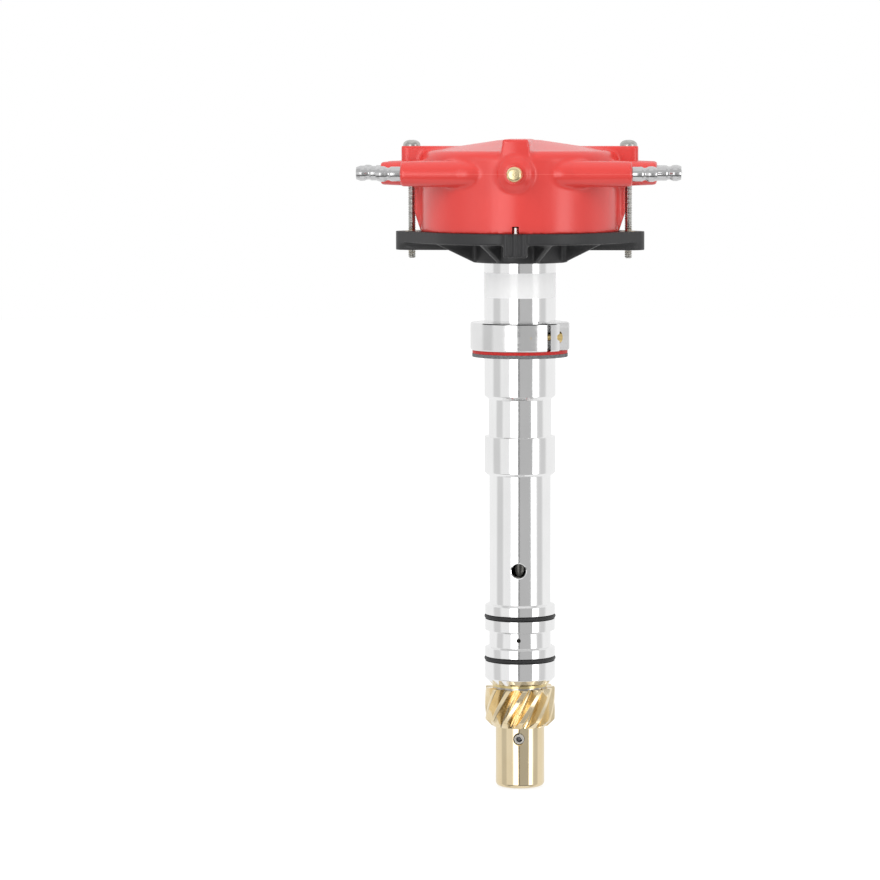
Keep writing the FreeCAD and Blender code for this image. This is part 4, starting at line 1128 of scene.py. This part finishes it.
# Cap screws
# Two long screws of zinc-plated steel, 3.5 mm across, with domed cross-recess heads. They are
# threaded all along, run in brass inserts in the base's ears, and stick out below them.
SCREW_REACH = 49.8
SCREW_RADIUS = 1.75
SCREW_PITCH = 0.79
SCREW_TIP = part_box("cap_screw_left")[0].z / MM
EAR_TOP = 96.7
HEAD_HEIGHT = 2.8
HEAD_EDGE = 0.45
SCREW_HEAD_RADIUS = 4.0
RECESS_SPAN = 4.4
RECESS_FOOT_SPAN = 1.54
RECESS_WIDTH = 1.0
RECESS_FOOT_WIDTH = 0.7
RECESS_HEIGHT = 3.2
DOME_STEPS = 8
screw_zinc, tree, shader = new_material("screw_zinc", tint(198, 194, 182), 1.0, 0.28)
dulling = stretched_noise(tree, (420.0, 420.0, 420.0), 4.0)
two_toned(tree, shader, remapped(tree, dulling, 0.0, 1.0), tint(182, 181, 177), tint(206, 205, 201))
tree.links.new(remapped(tree, dulling, 0.22, 0.32), shader.inputs["Roughness"])

thread_tree, source, sink = geometry_tree("screw_thread", [
    ("Turns", "Float", 10.0), ("Radius", "Float", 0.002), ("Length", "Float", 0.05),
    ("Ridge", "Float", 0.0004),
])
helix = add_node(thread_tree, "GeometryNodeCurveSpiral",
                 [("Resolution", 24), ("Rotations", source.outputs["Turns"]),
                  ("Start Radius", source.outputs["Radius"]), ("End Radius", source.outputs["Radius"]),
                  ("Height", source.outputs["Length"])])
upright = add_node(thread_tree, "GeometryNodeSetCurveNormal", [("Curve", helix)])
ridge = add_node(thread_tree, "GeometryNodeCurvePrimitiveCircle",
                 [("Resolution", 4), ("Radius", source.outputs["Ridge"])])
thread = add_node(thread_tree, "GeometryNodeCurveToMesh", [
    ("Curve", upright), ("Profile Curve", ridge.outputs["Curve"]), ("Fill Caps", True)])
finish_tree(thread_tree, sink, thread, screw_zinc)
RIDGE = 0.3
thread_length = EAR_TOP - SCREW_TIP - 1.2
thread_mesh = grow(thread_tree, Turns=thread_length / SCREW_PITCH, Radius=(SCREW_RADIUS - RIDGE) * MM,
                   Length=thread_length * MM, Ridge=RIDGE * MM)
thread_mesh.transform(Matrix.Translation((0.0, 0.0, (SCREW_TIP + 0.45) * MM)))
core_outline = [
    (NEAR_AXIS, SCREW_TIP),
    (SCREW_RADIUS - 0.55, SCREW_TIP),
    (SCREW_RADIUS - RIDGE, SCREW_TIP + 0.5),
    (SCREW_RADIUS - RIDGE, EAR_TOP),
    (NEAR_AXIS, EAR_TOP),
]
core_mesh = turned_mesh("core", core_outline, steps=32)
head_outline = [(0.0, EAR_TOP), (SCREW_HEAD_RADIUS, EAR_TOP)]
for step in range(DOME_STEPS + 1):
    angle = math.radians(8.0 + 82.0 * step / DOME_STEPS)
    dome_height = EAR_TOP + HEAD_EDGE + (HEAD_HEIGHT - HEAD_EDGE) * math.sin(angle)
    head_outline.append((SCREW_HEAD_RADIUS * math.cos(angle) ** 0.8, dome_height))


def recess_blade(turn):
    """One of the two crossed wings of a screw's recess, which narrows downwards."""
    blade = plain_form("blade", bmesh.ops.create_cube, size=MM)
    for vertex in blade.vertices:
        at_top = vertex.co.z > 0
        vertex.co.x *= RECESS_SPAN if at_top else RECESS_FOOT_SPAN
        vertex.co.y *= RECESS_WIDTH if at_top else RECESS_FOOT_WIDTH
        vertex.co.z *= RECESS_HEIGHT
    lift = Matrix.Translation((0.0, 0.0, (EAR_TOP + HEAD_HEIGHT - 0.1) * MM))
    blade.transform(lift @ Matrix.Rotation(math.radians(turn), 4, "Z"))
    return blade


head_mesh = turned_mesh("head", head_outline, steps=64)
head_mesh = cut_away(head_mesh, [recess_blade(35.0), recess_blade(125.0)])
for side, node in ((-1.0, "cap_screw_left"), (1.0, "cap_screw_right")):
    screw_mesh = merged(node, (head_mesh, core_mesh, thread_mesh))
    screw_mesh.transform(Matrix.Translation((side * SCREW_REACH * MM, 0.0, 0.0)))
    place_piece(node + "_threaded", screw_mesh, screw_zinc, "cap", "zinc_steel", node)

# Bearing, rotor and brush
# What the cap hides: the ball bearing with its rings, the rotor on its carrier, and the carbon
# brush that a spring presses on the rotor's contact.
bearing_steel = turned_metal(
    "bearing_steel", tint(196, 197, 200), tint(226, 227, 229), 0.06, 0.14, 0.001)
contact_brass = turned_metal(
    "contact_brass", tint(204, 168, 92), tint(232, 202, 130), 0.2, 0.34, 0.003)
rotor_plastic = moulded("rotor_plastic", tint(38, 38, 39), tint(50, 50, 51), 0.38, 0.5, 0.02)
carbon = moulded("carbon", tint(34, 34, 36), tint(58, 58, 61), 0.5, 0.7, 0.03)
dress(bearing_steel, "bearing_outer_race", "bearing_inner_race", "bearing_balls")
dress(spring_steel, "bearing_retaining_ring", "shaft_snap_ring", "brush_spring")
dress(contact_brass, "bearing_cage", "rotor_tip", "rotor_contact")
dress(screw_zinc, "head_screws", "rotor_screws")
dress(collar_aluminium, "rotor_carrier")
dress(rotor_plastic, "rotor")
dress(carbon, "carbon_brush")
